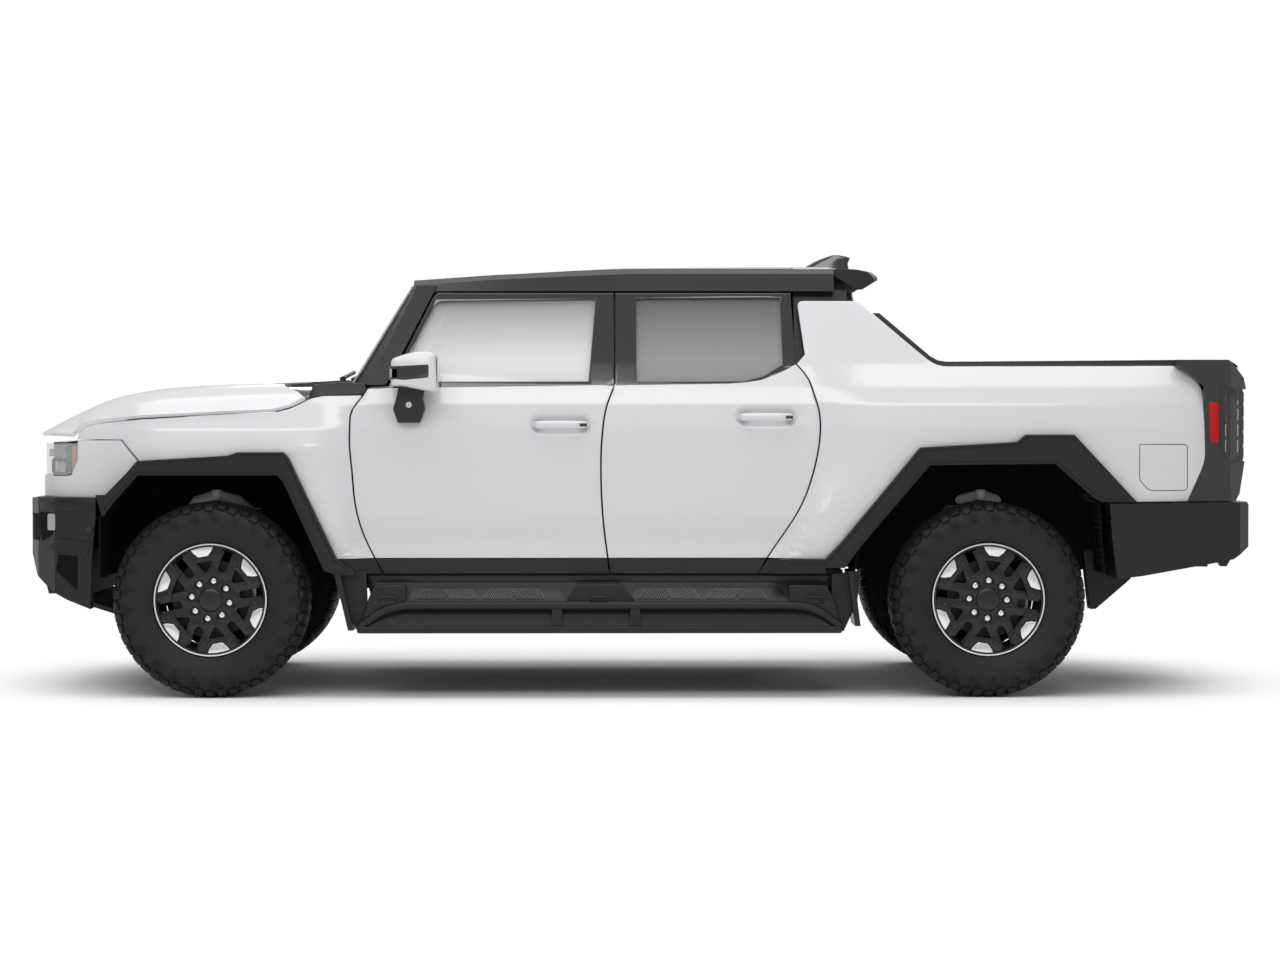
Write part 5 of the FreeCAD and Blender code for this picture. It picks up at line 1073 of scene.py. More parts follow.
def plan_panel(plan, outlines, depth, edge, setback=0.0, step=26.0):
    """A plate whose outlines run (length along the plan, z), wrapped on the plan's left half.

    The centre plane is a mirror: negative lengths go to the right half. Depth runs inwards.
    """
    points, faces = punched(outlines, depth, edge)
    low, high = points.min(axis=0), points.max(axis=0)
    points, faces = cut_rows(points, faces, line_places(low[0], high[0], step), 0)
    s, z, t = points.T
    x, y, along = plan_curve(plan)
    normal_x = np.gradient(y, along)
    normal_y = -np.gradient(x, along)
    length = np.hypot(normal_x, normal_y)
    a = np.abs(s)
    inward = depth / 2 - t + setback
    px = np.interp(a, along, x) + inward * np.interp(a, along, normal_x / length)
    py = np.interp(a, along, y) + inward * np.interp(a, along, normal_y / length)
    return spread(FRONT + px, -np.sign(s + 1e-9) * py, z), faces


def at_x(x):
    """Distance along the fascia's plan line where it reaches x behind the front axle."""
    return plan_length(FASCIA_PLAN, 0, x)


def fascia_plates(outlines, depth, edge, setback):
    """Plates with an outline each, laid side by side on the fascia's plan line."""
    return joined(*[plan_panel(FASCIA_PLAN, [np.array(line)], depth, edge, setback) for line in outlines])


def make_nose():
    """Body-colour band with its corners, headlamps behind their lenses, and slats between them."""
    half = [(at_x(-463), 884.5), (at_x(-463), 892), (at_x(-314.4) - 2, 1047), (at_x(-400), 1138),
            (at_x(-597), 1138), (at_x(-599), 1050), (at_x(-628), 984), (at_x(-650), 978)]
    outline = [*half, *[(-s, z) for s, z in reversed(half)]]
    points, faces = plan_panel(FASCIA_PLAN, [np.array(outline)], 40, 3.0)
    to_piece("nose_band", points, faces, WHITE, "body", 34, ["front_fascia"], "body_white")
    start = plan_length(FASCIA_PLAN, 1, 622)
    lamp = [(start, 981), (at_x(-655), 981), (at_x(-633), 990), (at_x(-603), 1052), (at_x(-600), 1124),
            (start, 1124)]
    amber = [(at_x(-640), 1000), (at_x(-618), 1036), (at_x(-612), 1112), (at_x(-642), 1112)]
    projectors = [rounded_rectangle(start + 48 + 58 * k, 1086, 46, 58, 8) for k in range(5)]
    main = [rounded_rectangle(start + 52 + 96 * k, 1018, 76, 50, 10) for k in range(3)]
    parts = [("lens", [lamp], 5, 1.0, 9.0, CLEAR_LENS), ("bowl", [lamp], 8, 1.0, 78.0, SATIN_BLACK),
             ("body", [lamp], 60, 1.0, 86, SATIN_BLACK), ("marker", [amber], 14, 3.0, 24, AMBER),
             ("projectors", projectors, 24, 4.0, 40, LAMP_GREY), ("main", main, 24, 4.0, 46, CHROME)]
    for part, outlines, depth, edge, setback, material in parts:
        shape = fascia_plates(outlines, depth, edge, setback)
        side_pieces("headlamp_" + part, shape, material, "body", ["headlamps"] if part == "lens" else ())
    slats = [rounded_rectangle(k * 110 + 0.01, 1018, 12, 64, 3) for k in range(-5, 6)]
    to_piece("nose_slats", *fascia_plates(slats, 16, 2.0, 30), SATIN_BLACK, "body")


def bumper_panel(outline, depth, edge, proud):
    """A plate in side view (x, z) laid on the front bumper's smooth side."""
    points, faces = punched([outline], depth, edge)
    points, faces = cut_rows(points, faces, line_places(points[:, 0].min(), points[:, 0].max(), 20), 0)
    x, z, t = points.T
    px, py, _ = plan_curve(BUMPER_PLAN)
    y = -np.interp(x, FRONT + px, py) - proud + depth / 2 - t
    return spread(x, y, z), faces


def make_bumper_trim():
    """Fog lamp in its opening, whose darkness is painted shade, the bar under it, a parking sensor and the
    corner fold.
    """
    recess_shade = [(-2660, 818), (-2578, 815), (-2572, 730), (-2648, 690), (-2668, 760)]
    bar = [(-2628, 655), (-2556, 702), (-2400, 690), (-2424, 634), (-2560, 645)]
    shade = [(-2560, 632), (-2430, 622), (-2400, 470), (-2480, 480), (-2570, 560)]
    fold = [(-2650, 868), (-2440, 862), (-2430, 838), (-2500, 826), (-2655, 836)]
    # The recess and lower pocket plates are flat sheets of the darkest matt black set 2 mm in: painted shade
    # for the fog lamp's opening and the pocket under the bar, over the bumper's real black.
    plates = [("recess_shade", recess_shade, 6, 1.0, -2.0, LINER),
              ("fog_lamp", rounded_rectangle(-2594, 775, 40, 74, 8), 8, 2.0, 1.0, LAMP_GREY),
              ("bar", bar, 18, 5.0, 6.0, GRAIN_BLACK), ("lower_pocket_shade", shade, 6, 1.0, -2.0, LINER),
              ("top_fold", fold, 12, 4.0, 3.0, SATIN_BLACK)]
    for part, outline, depth, edge, proud, material in plates:
        side_pieces("bumper_" + part, bumper_panel(outline, depth, edge, proud), material, "body")
    ring = lathe([(3, 2), (11, 2), (11, -4), (3, -4)], -2412, -1058, 745, 24)
    side_pieces("bumper_sensor", ring, STEEL, "body")


make_nose()
make_bumper_trim()


# Door mirrors: white housing, black band, glass, and a black foot

MIRROR_SIDE = [(803, 1388), (804, 1486), (812, 1500), (860, 1517), (918, 1533), (976, 1533), (1004, 1520),
               (1010, 1356), (990, 1349), (857, 1376), (812, 1378)]
MIRROR_STEPS = [(1189, .80), (1182, .92), (1166, .975), (1130, 1), (1030, 1), (1002, .97), (995, .90)]
BAND_SIDE = [(798, 1406), (799, 1462), (806, 1468), (984, 1478), (984, 1412), (860, 1400)]
BAND_STEPS = [(1190, .86), (1184, .96), (1168, 1.0), (1020, 1.0), (1000, .97)]
INDICATOR_SIDE = [(802, 1414), (803, 1454), (836, 1457), (836, 1412)]
INDICATOR_STEPS = [(1190, .88), (1187, .98), (1172, 1.0), (1100, 1.0)]
# The foot between shell and door: four rings of (distance behind the front axle, across, height)
MIRROR_FOOT = [(838, -1092, 1392), (952, -1092, 1372), (952, -1034, 1372), (838, -1034, 1392),
               (826, -1088, 1330), (940, -1088, 1322), (940, -1000, 1322), (826, -1000, 1330),
               (809, -1078, 1278), (950, -1078, 1278), (950, -986, 1278), (809, -986, 1278),
               (829, -1040, 1216), (926, -1040, 1216), (926, -986, 1216), (829, -986, 1216)]


def mirror_loft(outline, steps, middle):
    """Sections of one outline, scaled about its middle, from the outer end to the inner one."""
    outline = np.asarray(outline, float)
    y = np.linspace(steps[0][0], steps[-1][0], 40)
    order = np.asarray(steps, float)[::-1]
    size = np.interp(y, order[:, 0], order[:, 1])
    middle = np.asarray(middle, float)
    flat = middle + (outline - middle)[None, :, :] * size[:, None, None]
    rows, columns = flat.shape[:2]
    return spread(FRONT + flat[..., 0], -y[:, None], flat[..., 1]), loft_faces(rows, columns)


def make_mirrors():
    """White shell, black band with its indicator, glass, foot and the small camera under it."""
    door = "front_door_{}"
    shape = mirror_loft(closed_outline(MIRROR_SIDE, 14), MIRROR_STEPS, (912, 1446))
    side_pieces("mirror_shell", shape, WHITE, door, ["mirror_{}"], "body_white", 40)
    shape = mirror_loft(closed_outline(BAND_SIDE, 10), BAND_STEPS, (890, 1438))
    side_pieces("mirror_band", shape, GLOSS_BLACK, door)
    side_pieces("mirror_lamp", mirror_loft(INDICATOR_SIDE, INDICATOR_STEPS, (820, 1434)), LAMP_GREY, door)
    outline = [(-1160, 1372), (-1022, 1372), (-1022, 1508), (-1160, 1508)]
    side_pieces("mirror_glass", prism(outline, FRONT + 1008, FRONT + 1012.5, "x"), CHROME, door)
    foot = (np.array(MIRROR_FOOT, float) + [FRONT, 0, 0], loft_faces(4, 4))
    for piece in side_pieces("mirror_foot", foot, SATIN_BLACK, door, smooth=20):
        soften(piece, 5, 3, 25)
    eye = lathe([(2, 4), (13, 4), (15, 0), (15, -8), (2, -8)], FRONT + 880, -1084, 1296, 28)
    side_pieces("mirror_camera", eye, CHROME, door)


# Side steps: rocker, foot rail, bowed tube, hatched treads, brackets

STEP_Y = -1088.0
TREADS = [(-1003.0, -300.0), (-20.0, 684.0)]
# The deck's lower edge as (across, height) and how it rises; the rocker's top, face and lean
DECK_FOOT = (-1085, 404)
DECK_RISE = (79.0, 92.0)
ROCKER_TOP = 538
ROCKER_FACE = 1002
ROCKER_LEAN = 0.16
HATCH_PITCH = 10.6
STEP_UNDER = [(-1092, 306), (-1092, 316), (-1052, 412), (-1010, 412), (-1010, 340), (-1060, 306)]
ROCKER = [(-1178, ROCKER_TOP), (918, ROCKER_TOP), (934, 520), (880, 352), (-1150, 352), (-1190, 520)]
STEP_RAIL = [(-1226, -1108), (-1196, -1112), (890, -1112), (918, -1106), (880, -1030), (-1180, -1030)]
STEP_TUBE = [(-1212, STEP_Y, 316), (-1120, STEP_Y, 384), (-1030, STEP_Y, 410), (730, STEP_Y, 410),
             (820, STEP_Y, 384), (906, STEP_Y, 316)]
STEP_BLOCKS = [[(-322, 402), (-258, 506), (-64, 506), (24, 402)],
               [(-1206, 330), (-1178, 440), (-1150, 500), (-1012, 500), (-1012, 400), (-1060, 380)],
               [(680, 500), (844, 500), (880, 440), (904, 330), (760, 380), (680, 400)]]


def make_steps():
    """Tray, sloping rocker, foot rail, bowed tube and sloping deck."""
    side_pieces("step_under", prism(STEP_UNDER, -1176, 872, "x"), GRAIN_BLACK, "body", smooth=20)
    points, faces = punched([ROCKER], 46, 3.0)
    x, z, t = points.T
    y = -(ROCKER_FACE - ROCKER_LEAN * (ROCKER_TOP - z)) - t + 23
    side_pieces("rocker", (spread(x, y, z), faces), SATIN_BLACK, "body", ["side_steps"], "black_trim", 30)
    points, faces = punched([closed_outline(STEP_RAIL, 16)], 30, 6.0)
    side_pieces("step_rail", (points + [0, 0, 303], faces), SATIN_BLACK, "body", smooth=30)
    path = rounded_line(STEP_TUBE, 60, 6)
    side_pieces("step_tube", tube(path, 19.0, 16), GRAIN_BLACK, "body", slot="black_trim", smooth=40)
    deck = prism([(-1085, 404), (-1085, 416), (-1006, 508), (-1002, 496), (-1006, 404)], -1150, 860, "x")
    side_pieces("step_deck", deck, GRAIN_BLACK, "body")


def make_treads():
    """Tread plates on the deck, with slanted hatching in groups of twelve that lean to and fro."""
    plates, bars = [], []
    for low, high in TREADS:
        outline = [(low, 0), (low + 22, 84), (high - 40, 84), (high, 0)]
        plates.append(on_deck(*punched([outline], 8, 2.0), 2.0))
        for k in range(58):
            start = low + 36 + k * HATCH_PITCH
            if start > high - 78 or (k % 14) in (12, 13):
                continue
            lean = 26 if (k // 14) % 2 == 0 else -26
            outline = [(start, 12), (start + 4.5, 12), (start + 4.5 + lean, 66), (start + lean, 66)]
            bars.append(on_deck(*prism(outline, 0, 5, "z"), 6.0))
    side_pieces("step_treads", joined(*plates), SATIN_BLACK, "body")
    side_pieces("step_hatching", joined(*bars), HATCH_GREY, "body", smooth=20)


def make_step_brackets():
    """Brackets in the middle and at the ends, small hoops and struts."""
    blocks = []
    for outline in STEP_BLOCKS:
        points, faces = punched([outline], 62, 6.0)
        x, z, t = points.T
        blocks.append((spread(x, -1046 - t, z), faces))
    side_pieces("step_brackets_and_shade_plates", joined(*blocks), SATIN_BLACK, "body", slot="black_trim", smooth=25)
    hoops = []
    for middle in (-160, -1090, 790):
        path = [(middle - 44, -1090, 424), (middle - 34, -1094, 448), (middle + 34, -1094, 448),
                (middle + 44, -1090, 424)]
        hoops.append(tube(rounded_line(path, 10, 4), 6.0, 10))
    struts = [box((x - 22, x + 22), (-1100, -1070), (316, 396)) for x in (-345, 0)]
    side_pieces("step_hoops", joined(*hoops, *struts), GRAIN_BLACK, "body", smooth=30)


def on_deck(points, faces, lift):
    """Plate points (along, up the slope, out) laid on the step's sloping deck."""
    along, up, out = np.asarray(points, float).T
    slope = np.array(DECK_RISE) / math.hypot(*DECK_RISE)
    y = DECK_FOOT[0] + 12 + up * slope[0] - (out + lift) * slope[1]
    z = DECK_FOOT[1] + 20 + up * slope[1] + (out + lift) * slope[0]
    return spread(along, y, z), faces


# Rear corners: smoked lamp covers over red and clear parts

# The post's flat face, and where and how far the bevel towards the tail runs
TAIL_FACE = 1000
TAIL_BEVEL_START = 2648
TAIL_BEVEL = (118, 99)
TAIL_COVER = [(2600, 1384), (2668, 1372), (2716, 1330), (2714, 1040), (2640, 1036), (2600, 1120)]
TAIL_RED = [(2550, 1306), (2592, 1306), (2594, 1132), (2556, 1126)]


def on_tail(outline, depth, edge, proud):
    """A plate in side view (x, z) laid on the tail post's outer face."""
    points, faces = punched([outline], depth, edge)
    x, z, t = points.T
    return spread(x, tail_side(x) - t - proud, z), faces


def make_tail_lamps():
    """Smoked cover over a red lamp and pale cells, and the red blocks that face the back."""
    cover = on_tail(closed_outline(TAIL_COVER, 14), 8, 2.0, 1.5)
    side_pieces("tail_cover", cover, SMOKED_LENS, "body", ["tail_lamps"], "lamp_red")
    side_pieces("tail_red", on_tail(closed_outline(TAIL_RED, 10), 10, 2.5, 1.0), RED_LENS, "body")
    cells = [on_tail(rounded_rectangle(2656, 1322 - 70 * k, 66, 52, 6), 8, 2.0, -3.0) for k in range(4)]
    side_pieces("tail_cells", joined(*cells), LAMP_GREY, "body")
    blocks = [box((2718, 2725.5), (-900, -812), (1058 + 62 * k, 1104 + 62 * k)) for k in range(5)]
    for piece in side_pieces("tail_blocks", joined(*blocks), RED_LENS, "body"):
        soften(piece, 3, 2)
    side_pieces("tail_back", box((2652, 2719), (-905, -800), (1046, 1364)), GLOSS_BLACK, "body")


def tail_side(x):
    """Outer face of the tail post: flat, then bevelled towards the tail."""
    return -TAIL_FACE + np.clip((x - TAIL_BEVEL_START) / TAIL_BEVEL[0], 0, 1) * TAIL_BEVEL[1]


make_mirrors()
make_steps()
make_treads()
make_step_brackets()
make_tail_lamps()


# Cabin

def squared(value, power):
    """A sine or cosine raised to a power with its sign kept, which squares up an oval."""
    return np.sign(value) * np.abs(value) ** power


def tilted(x, y, z, centre, tilt):
    """Points about a centre, turned about the cross axis."""
    return spread(centre[0] + x * math.cos(tilt) + z * math.sin(tilt), centre[1] + y,
                  centre[2] - x * math.sin(tilt) + z * math.cos(tilt))


def cushion(centre, half, tilt=0.0, channels=0, rows=30, columns=44):
    """A crowned, padded form: a rounded box whose broad faces swell and whose sides pull in at mid-length.

    Two angles u and v run over it; powers of their sines and cosines square it up, the broad face
    swells by a quarter of its thickness, and sewn channels press shallow grooves across it.
    """
    up = np.linspace(-0.5, 0.5, rows) * np.pi
    around = np.linspace(-1, 1, columns, endpoint=False) * np.pi
    u, v = np.meshgrid(up, around, indexing="ij")
    a = squared(np.cos(u), 0.32) * squared(np.cos(v), 0.34)
    b = squared(np.cos(u), 0.32) * squared(np.sin(v), 0.34)
    c = squared(np.sin(u), 0.42)
    pull = 1 - 0.045 * (1 - np.abs(c)) - 0.03 * np.cos(np.pi * np.clip(np.abs(a * b), 0, 1) / 2)
    swell = 1 + 0.22 * (1 - a ** 2) * (1 - b ** 2)
    groove = 1 - 0.10 * np.abs(np.sin(a * np.pi * channels / 2 + np.pi / 2)) ** 14 if channels else 1.0
    points = tilted(half[0] * a * pull, half[1] * b * pull, half[2] * c * swell * groove, centre, tilt)
    return points, grid_faces(rows, columns, closed_columns=True).tolist()


def piping(centre, half, tilt, radius=4.0):
    """A sewn welt round a cushion's edge: a thin closed roll along a squared oval."""
    t = full_turn(72)
    x = half[0] * 0.985 * squared(np.cos(t), 0.34)
    y = half[1] * 0.985 * squared(np.sin(t), 0.34)
    return tube(tilted(x, y, half[2] * 0.42, centre, tilt), radius, 8, closed=True)


def make_seat(name, x, y, half, back_x, top, replaced=()):
    """One seat: padded base, back and head rest with welts, side bolsters, and the shell under them."""
    reach = back_x + 65 - x - 500
    lean = math.atan2(reach, top - 1120)
    length = math.hypot(reach, top - 1120)
    base = (x + 240, y, 898)
    back = (x + 505 + math.sin(lean) * length / 2, y, 915 + length / 2)
    back_tilt = lean - math.pi / 2
    head = (back_x + 72, y, top - 84)
    inner = half - 44
    forms = [("base", base, (232, inner, 50), 0.05, 5), ("back", back, (length / 2, inner, 46), back_tilt, 5),
             ("head_rest", head, (78, min(inner, 128), 44), back_tilt, 0)]
    for label, place, size, tilt, channels in forms:
        form = joined(cushion(place, size, tilt, channels), piping(place, size, tilt))
        to_piece(f"{name}_{label}", *form, LEATHER, "body", 60, replaced)
    rolls = []
    posts = []
    for s in (-1, 1):
        edge = y + s * (half - 32)
        rolls.append(cushion((base[0], edge, 912), (230, 34, 58), 0.05, 0, 18, 28))
        place = (back[0] - 12, edge, back[2] - 20)
        rolls.append(cushion(place, (length / 2 - 20, 34, 60), back_tilt, 0, 18, 28))
        post = [(back_x + 74, y + s * 55, top - 240), (back_x + 74, y + s * 55, top - 120)]
        posts.append(tube(post, 8, 10))
    to_piece(f"{name}_bolsters", *joined(*rolls), LEATHER, "body", 60)
    shell = [(x + 40, 592), (x + 26, 862), (x + 470, 850), (x + 532, 900), (back_x + 78, top - 222),
             (back_x + 118, top - 212), (x + 608, 874), (x + 588, 592)]
    shell = rounded_line([shell[-1], *shell, shell[0]], 30, 4)[1:-1]
    form = joined(prism(shell, y - half + 22, y + half - 22), *posts)
    soften(to_piece(f"{name}_shell", *form, CABIN, "body", 30), 6, 2, 40)


def make_seats():
    """Two front seats and a rear row of three."""
    for s, label in ((-1, "left"), (1, "right")):
        make_seat(f"front_seat_{label}", -787.5, s * 430, 250, -237.5, 1640, ["seats"])
    for y, label in ((-460, "left"), (0, "middle"), (460, "right")):
        make_seat(f"rear_seat_{label}", 276.5, y, 229, 806.5, 1600)


WHEEL_CENTRE = np.array([-867.5, -400.0, 1255.0])
WHEEL_AXIS = np.array([0.86, 0.0, 0.5]) / math.hypot(0.86, 0.5)
WHEEL_RADIUS = 178


def make_driving_place():
    """Steering wheel rim, boss and spokes, and the screens on the dash."""
    centre = WHEEL_CENTRE
    axis = WHEEL_AXIS
    up = np.array([-axis[2], 0.0, axis[0]])
    side = np.array([0.0, 1.0, 0.0])
    t = full_turn(64)[:, None]
    rim = centre + WHEEL_RADIUS * (np.cos(t) * up + np.sin(t) * side)
    boss = [centre - axis * 40, centre - axis * 8, centre + axis * 12, centre + axis * 20]
    shapes = [tube(rim, 15.5, 14, closed=True), tube(boss, [40, 58, 56, 40], 28)]
    for degrees in (90, 180, 270):
        a = math.radians(degrees)
        out = math.cos(a) * up + math.sin(a) * side
        spoke = [centre + out * 40, centre + out * 110 - axis * 6, centre + out * 172]
        shapes.append(tube(spoke, [17, 13, 12], 12))
    to_piece("steering_wheel_rim", *joined(*shapes), CABIN, "body", 40, ["steering_wheel"])
    screens = []
    for y, width in ((-400, 330), (30, 350)):
        points, faces = punched([rounded_rectangle(y, 1292, width, 150, 12)], 18, 3)
        across, height, t = points.T
        screens.append((spread(-952 - 0.25 * (height - 1217) + t, across, height), faces))
    to_piece("dash_screens", *joined(*screens), GLOSS_BLACK, "body", 30)


def make_grab_handles():
    """Grab handles on the windscreen pillars and on the pillars between the doors."""
    handles = [([(-905, 1492), (-884, 1508), (-862, 1560), (-838, 1622), (-846, 1652)], 804),
               ([(2, 1436), (36, 1450), (42, 1500), (36, 1550), (2, 1566)], 800)]
    grips = []
    for line, y in handles:
        path = dense_line(rounded_line(line, 30, 5), 10)
        for s in (-1, 1):
            grips.append(tube(np.column_stack([path[:, 0], np.full(len(path), s * y), path[:, 1]]), 13, 12))
    to_piece("grab_handles", *joined(*grips), CABIN, "body", 50)


def make_door_cards():
    """Inside the doors: padded armrests, pull handles, map pockets and speaker rings."""
    ring = [(58, 0), (82, 0), (86, 5), (82, 11), (76, 11), (70, 5), (58, 4)]
    for end, x, speaker_x in (("front", -560, -960), ("rear", 240, 420)):
        rest = cushion((x, -862, 1096), (250, 32, 30), 0.0, 0, 20, 36)
        line = [(x - 120, 888), (x - 104, 852), (x + 104, 852), (x + 120, 888)]
        path = dense_line(rounded_line(line, 22, 5), 12)
        grip = tube(np.column_stack([path[:, 0], -path[:, 1], np.full(len(path), 1214)]), 11, 12)
        pull = joined(grip, lathe(ring, speaker_x, -893, 800, 48, 1.0))
        pocket = [(x - 252, 700), (x - 262, 840), (x + 262, 840), (x + 252, 700), (x - 240, 690)]
        pocket = prism(rounded_line(pocket, 30, 5), -894, -852)
        for side_name, side in SIDES.items():
            body = f"{end}_door_{side_name}"
            mirror = side > 0
            piece = to_piece(f"{end}_armrest_{side_name}", *rest, LEATHER, body, 60, mirror=mirror)
            to_piece(f"{end}_door_pull_{side_name}", *pull, SATIN_BLACK, body, 40, mirror=mirror)
            piece = to_piece(f"{end}_map_pocket_{side_name}", *pocket, CABIN, body, 30, mirror=mirror)
            soften(piece, 9, 3, 40)


make_seats()
make_driving_place()
make_grab_handles()
make_door_cards()


# Roof spoiler and fin

SPOILER_SECTION = [(-669.6, 1903), (-669.6, 1935), (-540, 1931), (-458, 1918), (-423, 1886), (-512, 1836),
                   (-600, 1864)]
SPOILER_HALF = 760
# The fin's front and rear edges as (distance behind the rear axle, height), and its foot and top
FIN_FRONT = [(-762, 1938), (-740, 1952), (-700, 1974), (-660, 1990), (-622, 2001)]
FIN_REAR = [(-546, 1926), (-552, 1962), (-540, 1989), (-562, 1996), (-596, 2001)]
FIN_FOOT = 1926
FIN_TOP = 2001


def make_fin():
    """The aerial fin: ovals between a front and a rear edge, slimmer towards the top."""
    levels = np.linspace(FIN_FOOT, FIN_TOP, 12)
    front_edge = np.asarray(FIN_FRONT, float)
    rear_edge = np.asarray(FIN_REAR, float)
    front = np.interp(levels, front_edge[:, 1], front_edge[:, 0])
    rear = np.interp(levels, rear_edge[:, 1], rear_edge[:, 0])
    t = full_turn(32)
    width = 16 * (1 - 0.72 * (levels - FIN_FOOT) / (FIN_TOP - FIN_FOOT))
    x = REAR + ((front + rear) / 2)[:, None] + ((rear - front) / 2)[:, None] * np.cos(t)[None, :]
    y = width[:, None] * np.sin(t)[None, :]
    faces = grid_faces(12, 32, closed_columns=True).tolist() + end_caps(12, 32)[1:]
    to_piece("antenna_fin", spread(x, y, levels[:, None]), faces, GLOSS_BLACK, "body", 40)


def make_spoiler():
    """The spoiler's section carried across the roof: it drops and recedes towards both ends."""
    section = closed_outline(SPOILER_SECTION, 16, 3)
    y = np.linspace(-SPOILER_HALF, SPOILER_HALF, 61)
    share = np.abs(y)[:, None] / SPOILER_HALF
    aft = np.clip((section[:, 0] + 640) / 217, 0, 1)[None, :]
    x = REAR + section[:, 0][None, :] - 62 * share ** 2.5 * aft
    z = section[:, 1][None, :] - 26 * share ** 1.15
    shape = (spread(x, y[:, None], z), loft_faces(*x.shape))
    soften(to_piece("spoiler_blade", *shape, GRAIN_BLACK, "body", 30, ["roof_spoiler"]), 5, 2, 40)


make_spoiler()
make_fin()


# Tailgate and back

TAILGATE_FACE = 2720.0
TAILGATE_HALF = 777
TAILGATE_FOOT = 904
TAILGATE_TOP = 1468


def tailgate_point(u, v):
    """Outer tailgate skin: a level panel with a stamped field and a handle trough.

    u runs from the foot to the top and v from -1 to 1 across; soft steps press the field 9 mm in and
    the trough 20 mm in, and the whole panel crowns 8 mm in the middle.
    """
    y = TAILGATE_HALF * v
    z = TAILGATE_FOOT + (TAILGATE_TOP - TAILGATE_FOOT) * u
    field = soft_clip((0.80 - np.abs(v)) / 0.03, 0.3) * soft_clip((u - 0.12) / 0.05, 0.3)
    field = field * soft_clip((0.74 - u) / 0.05, 0.3)
    trough = soft_clip((0.26 - np.abs(v)) / 0.02, 0.3) * soft_clip((u - 0.80) / 0.03, 0.3)
    trough = trough * soft_clip((0.90 - u) / 0.03, 0.3)
    x = TAILGATE_FACE + 8 * (1 - v ** 2) - 9 * field - 20 * trough - 10 * soft_clip((0.04 - u) / 0.04, 0.3)
    return x, y, z


def make_tailgate():
    """White stamped tailgate skin with its black top cap and handle."""
    rows, columns = 66, 121
    u, v = np.meshgrid(np.linspace(0, 1, rows), np.linspace(-1, 1, columns), indexing="ij")
    shape = (spread(*tailgate_point(u, v)), grid_faces(rows, columns))
    skin = to_piece("tailgate_skin", *shape, WHITE, "tailgate", 50, ["tailgate"], "body_white")
    thicken(skin, 72)
    soften(skin, 3, 2, 50)
    cap = [(-76, 1466), (-76, 1493), (-34, 1493), (-12, 1480), (4, 1466), (-30, 1460)]
    cap = prism(rounded_line(shifted(cap, TAILGATE_FACE), 6, 3), -TAILGATE_HALF, TAILGATE_HALF)
    soften(to_piece("tailgate_cap", *cap, GRAIN_BLACK, "tailgate", 30), 3, 2, 50)
    grip = [(-14, 1372), (4, 1374), (7, 1386), (4, 1396), (-14, 1398)]
    grip = prism(rounded_line(shifted(grip, TAILGATE_FACE), 6, 3), -150, 150)
    to_piece("tailgate_handle", *grip, GLOSS_BLACK, "tailgate", 40)


make_tailgate()


# Suspension, liners and small underbody parts

def coil(x, y, low, high, radius, wire, turns):
    """A spring: a wire along a helix with flat end turns."""
    t = np.linspace(0, 1, int(turns * 20))
    a = 2 * np.pi * turns * t
    z = low + (high - low) * soft_clip((t - 0.06) / 0.88, 0.05)
    return tube(spread(x + radius * np.cos(a), y + radius * np.sin(a), z), wire, 10)


# How far behind the axle and off the centre plane each spring and damper stands
SPRING_X = 86
SPRING_Y = 560


def make_springs(end, side_name):
    """A coil-over damper: two-step tube inside its spring."""
    x = AXLES[end] + SPRING_X
    y = SIDES[side_name] * SPRING_Y
    damper = tube([(x, y, 284), (x, y, 520), (x, y, 525), (x, y, 760)], [34, 34, 17, 17], 20)
    to_piece(f"damper_{end}_{side_name}", *damper, STEEL, "body", 40)
    to_piece(f"coil_{end}_{side_name}", *coil(x, y, 320, 756, 47, 8, 7), ALLOY, "body", 60)


def make_upper_arm(end, side_name):
    """The tall upper arm that reaches above the tyre, and the knuckle's neck that meets its tip."""
    axle = AXLES[end]
    side = SIDES[side_name]
    tip = (axle - 4, side * 742, 890)
    arms = []
    for dx in (-140, 120):
        line = [(axle + dx, side * 500, 796), (axle + dx, side * 575, 822),
                (axle + dx * 0.72, side * 660, 862), tip]
        arms.append(tube(dense_line(line, 20), 23, 14))
    ball = [(0.1, 26), (20, 24), (27, 12), (27, -16), (20, -24), (0.1, -24)]
    points, faces = lathe(ball, 0, 0, 0, 28)
    arms.append((points[:, [0, 2, 1]] + np.array(tip), [f[::-1] for f in faces]))
    to_piece(f"upper_arm_{end}_{side_name}", *joined(*arms), CAST_LIGHT, "body", 50)
    neck = [(axle, side * 800, 560), (axle + 2, side * 760, 640), (axle, side * 744, 740),
            (axle - 4, side * 742, 850)]
    neck = dense_line(rounded_line(neck, 60, 6), 14)
    shape = tube(neck, np.linspace(30, 20, len(neck)), 16)
    to_piece(f"knuckle_neck_{end}_{side_name}", *shape, CAST_LIGHT, f"{end}_knuckle_{side_name}", 50)


def make_shield(end, side_name):
    """The dust shield behind a brake disc."""
    section = [(98, -52), (206, -52), (213, -49), (206, -45), (98, -45)]
    shape = turned(end, side_name, section, 0, 72)
    to_piece(f"dust_shield_{end}_{side_name}", *shape, LINER, f"{end}_knuckle_{side_name}", 40)


def make_liner_ribs():
    """Raised ribs on the liners' walls behind the front wheels and behind the rear ones."""
    walls = {"front": ([(540, 560), (330, 1000)], 640), "rear": ([(520, 560), (500, 850)], 600)}
    for end, (wall, start) in walls.items():
        wall = np.asarray(wall, float)
        ribs = []
        for k in range(9):
            z = start + 25 * k
            x = AXLES[end] + np.interp(z, wall[:, 1], wall[:, 0]) - 3
            points = [(x, -1012, z), (x - 4, -1000, z), (x - 4, -850, z), (x, -838, z)]
            ribs.append(tube(points, [4, 8, 8, 4], 10))
        side_pieces(f"liner_ribs_{end}", joined(*ribs), GRAIN_BLACK, "body", smooth=50)


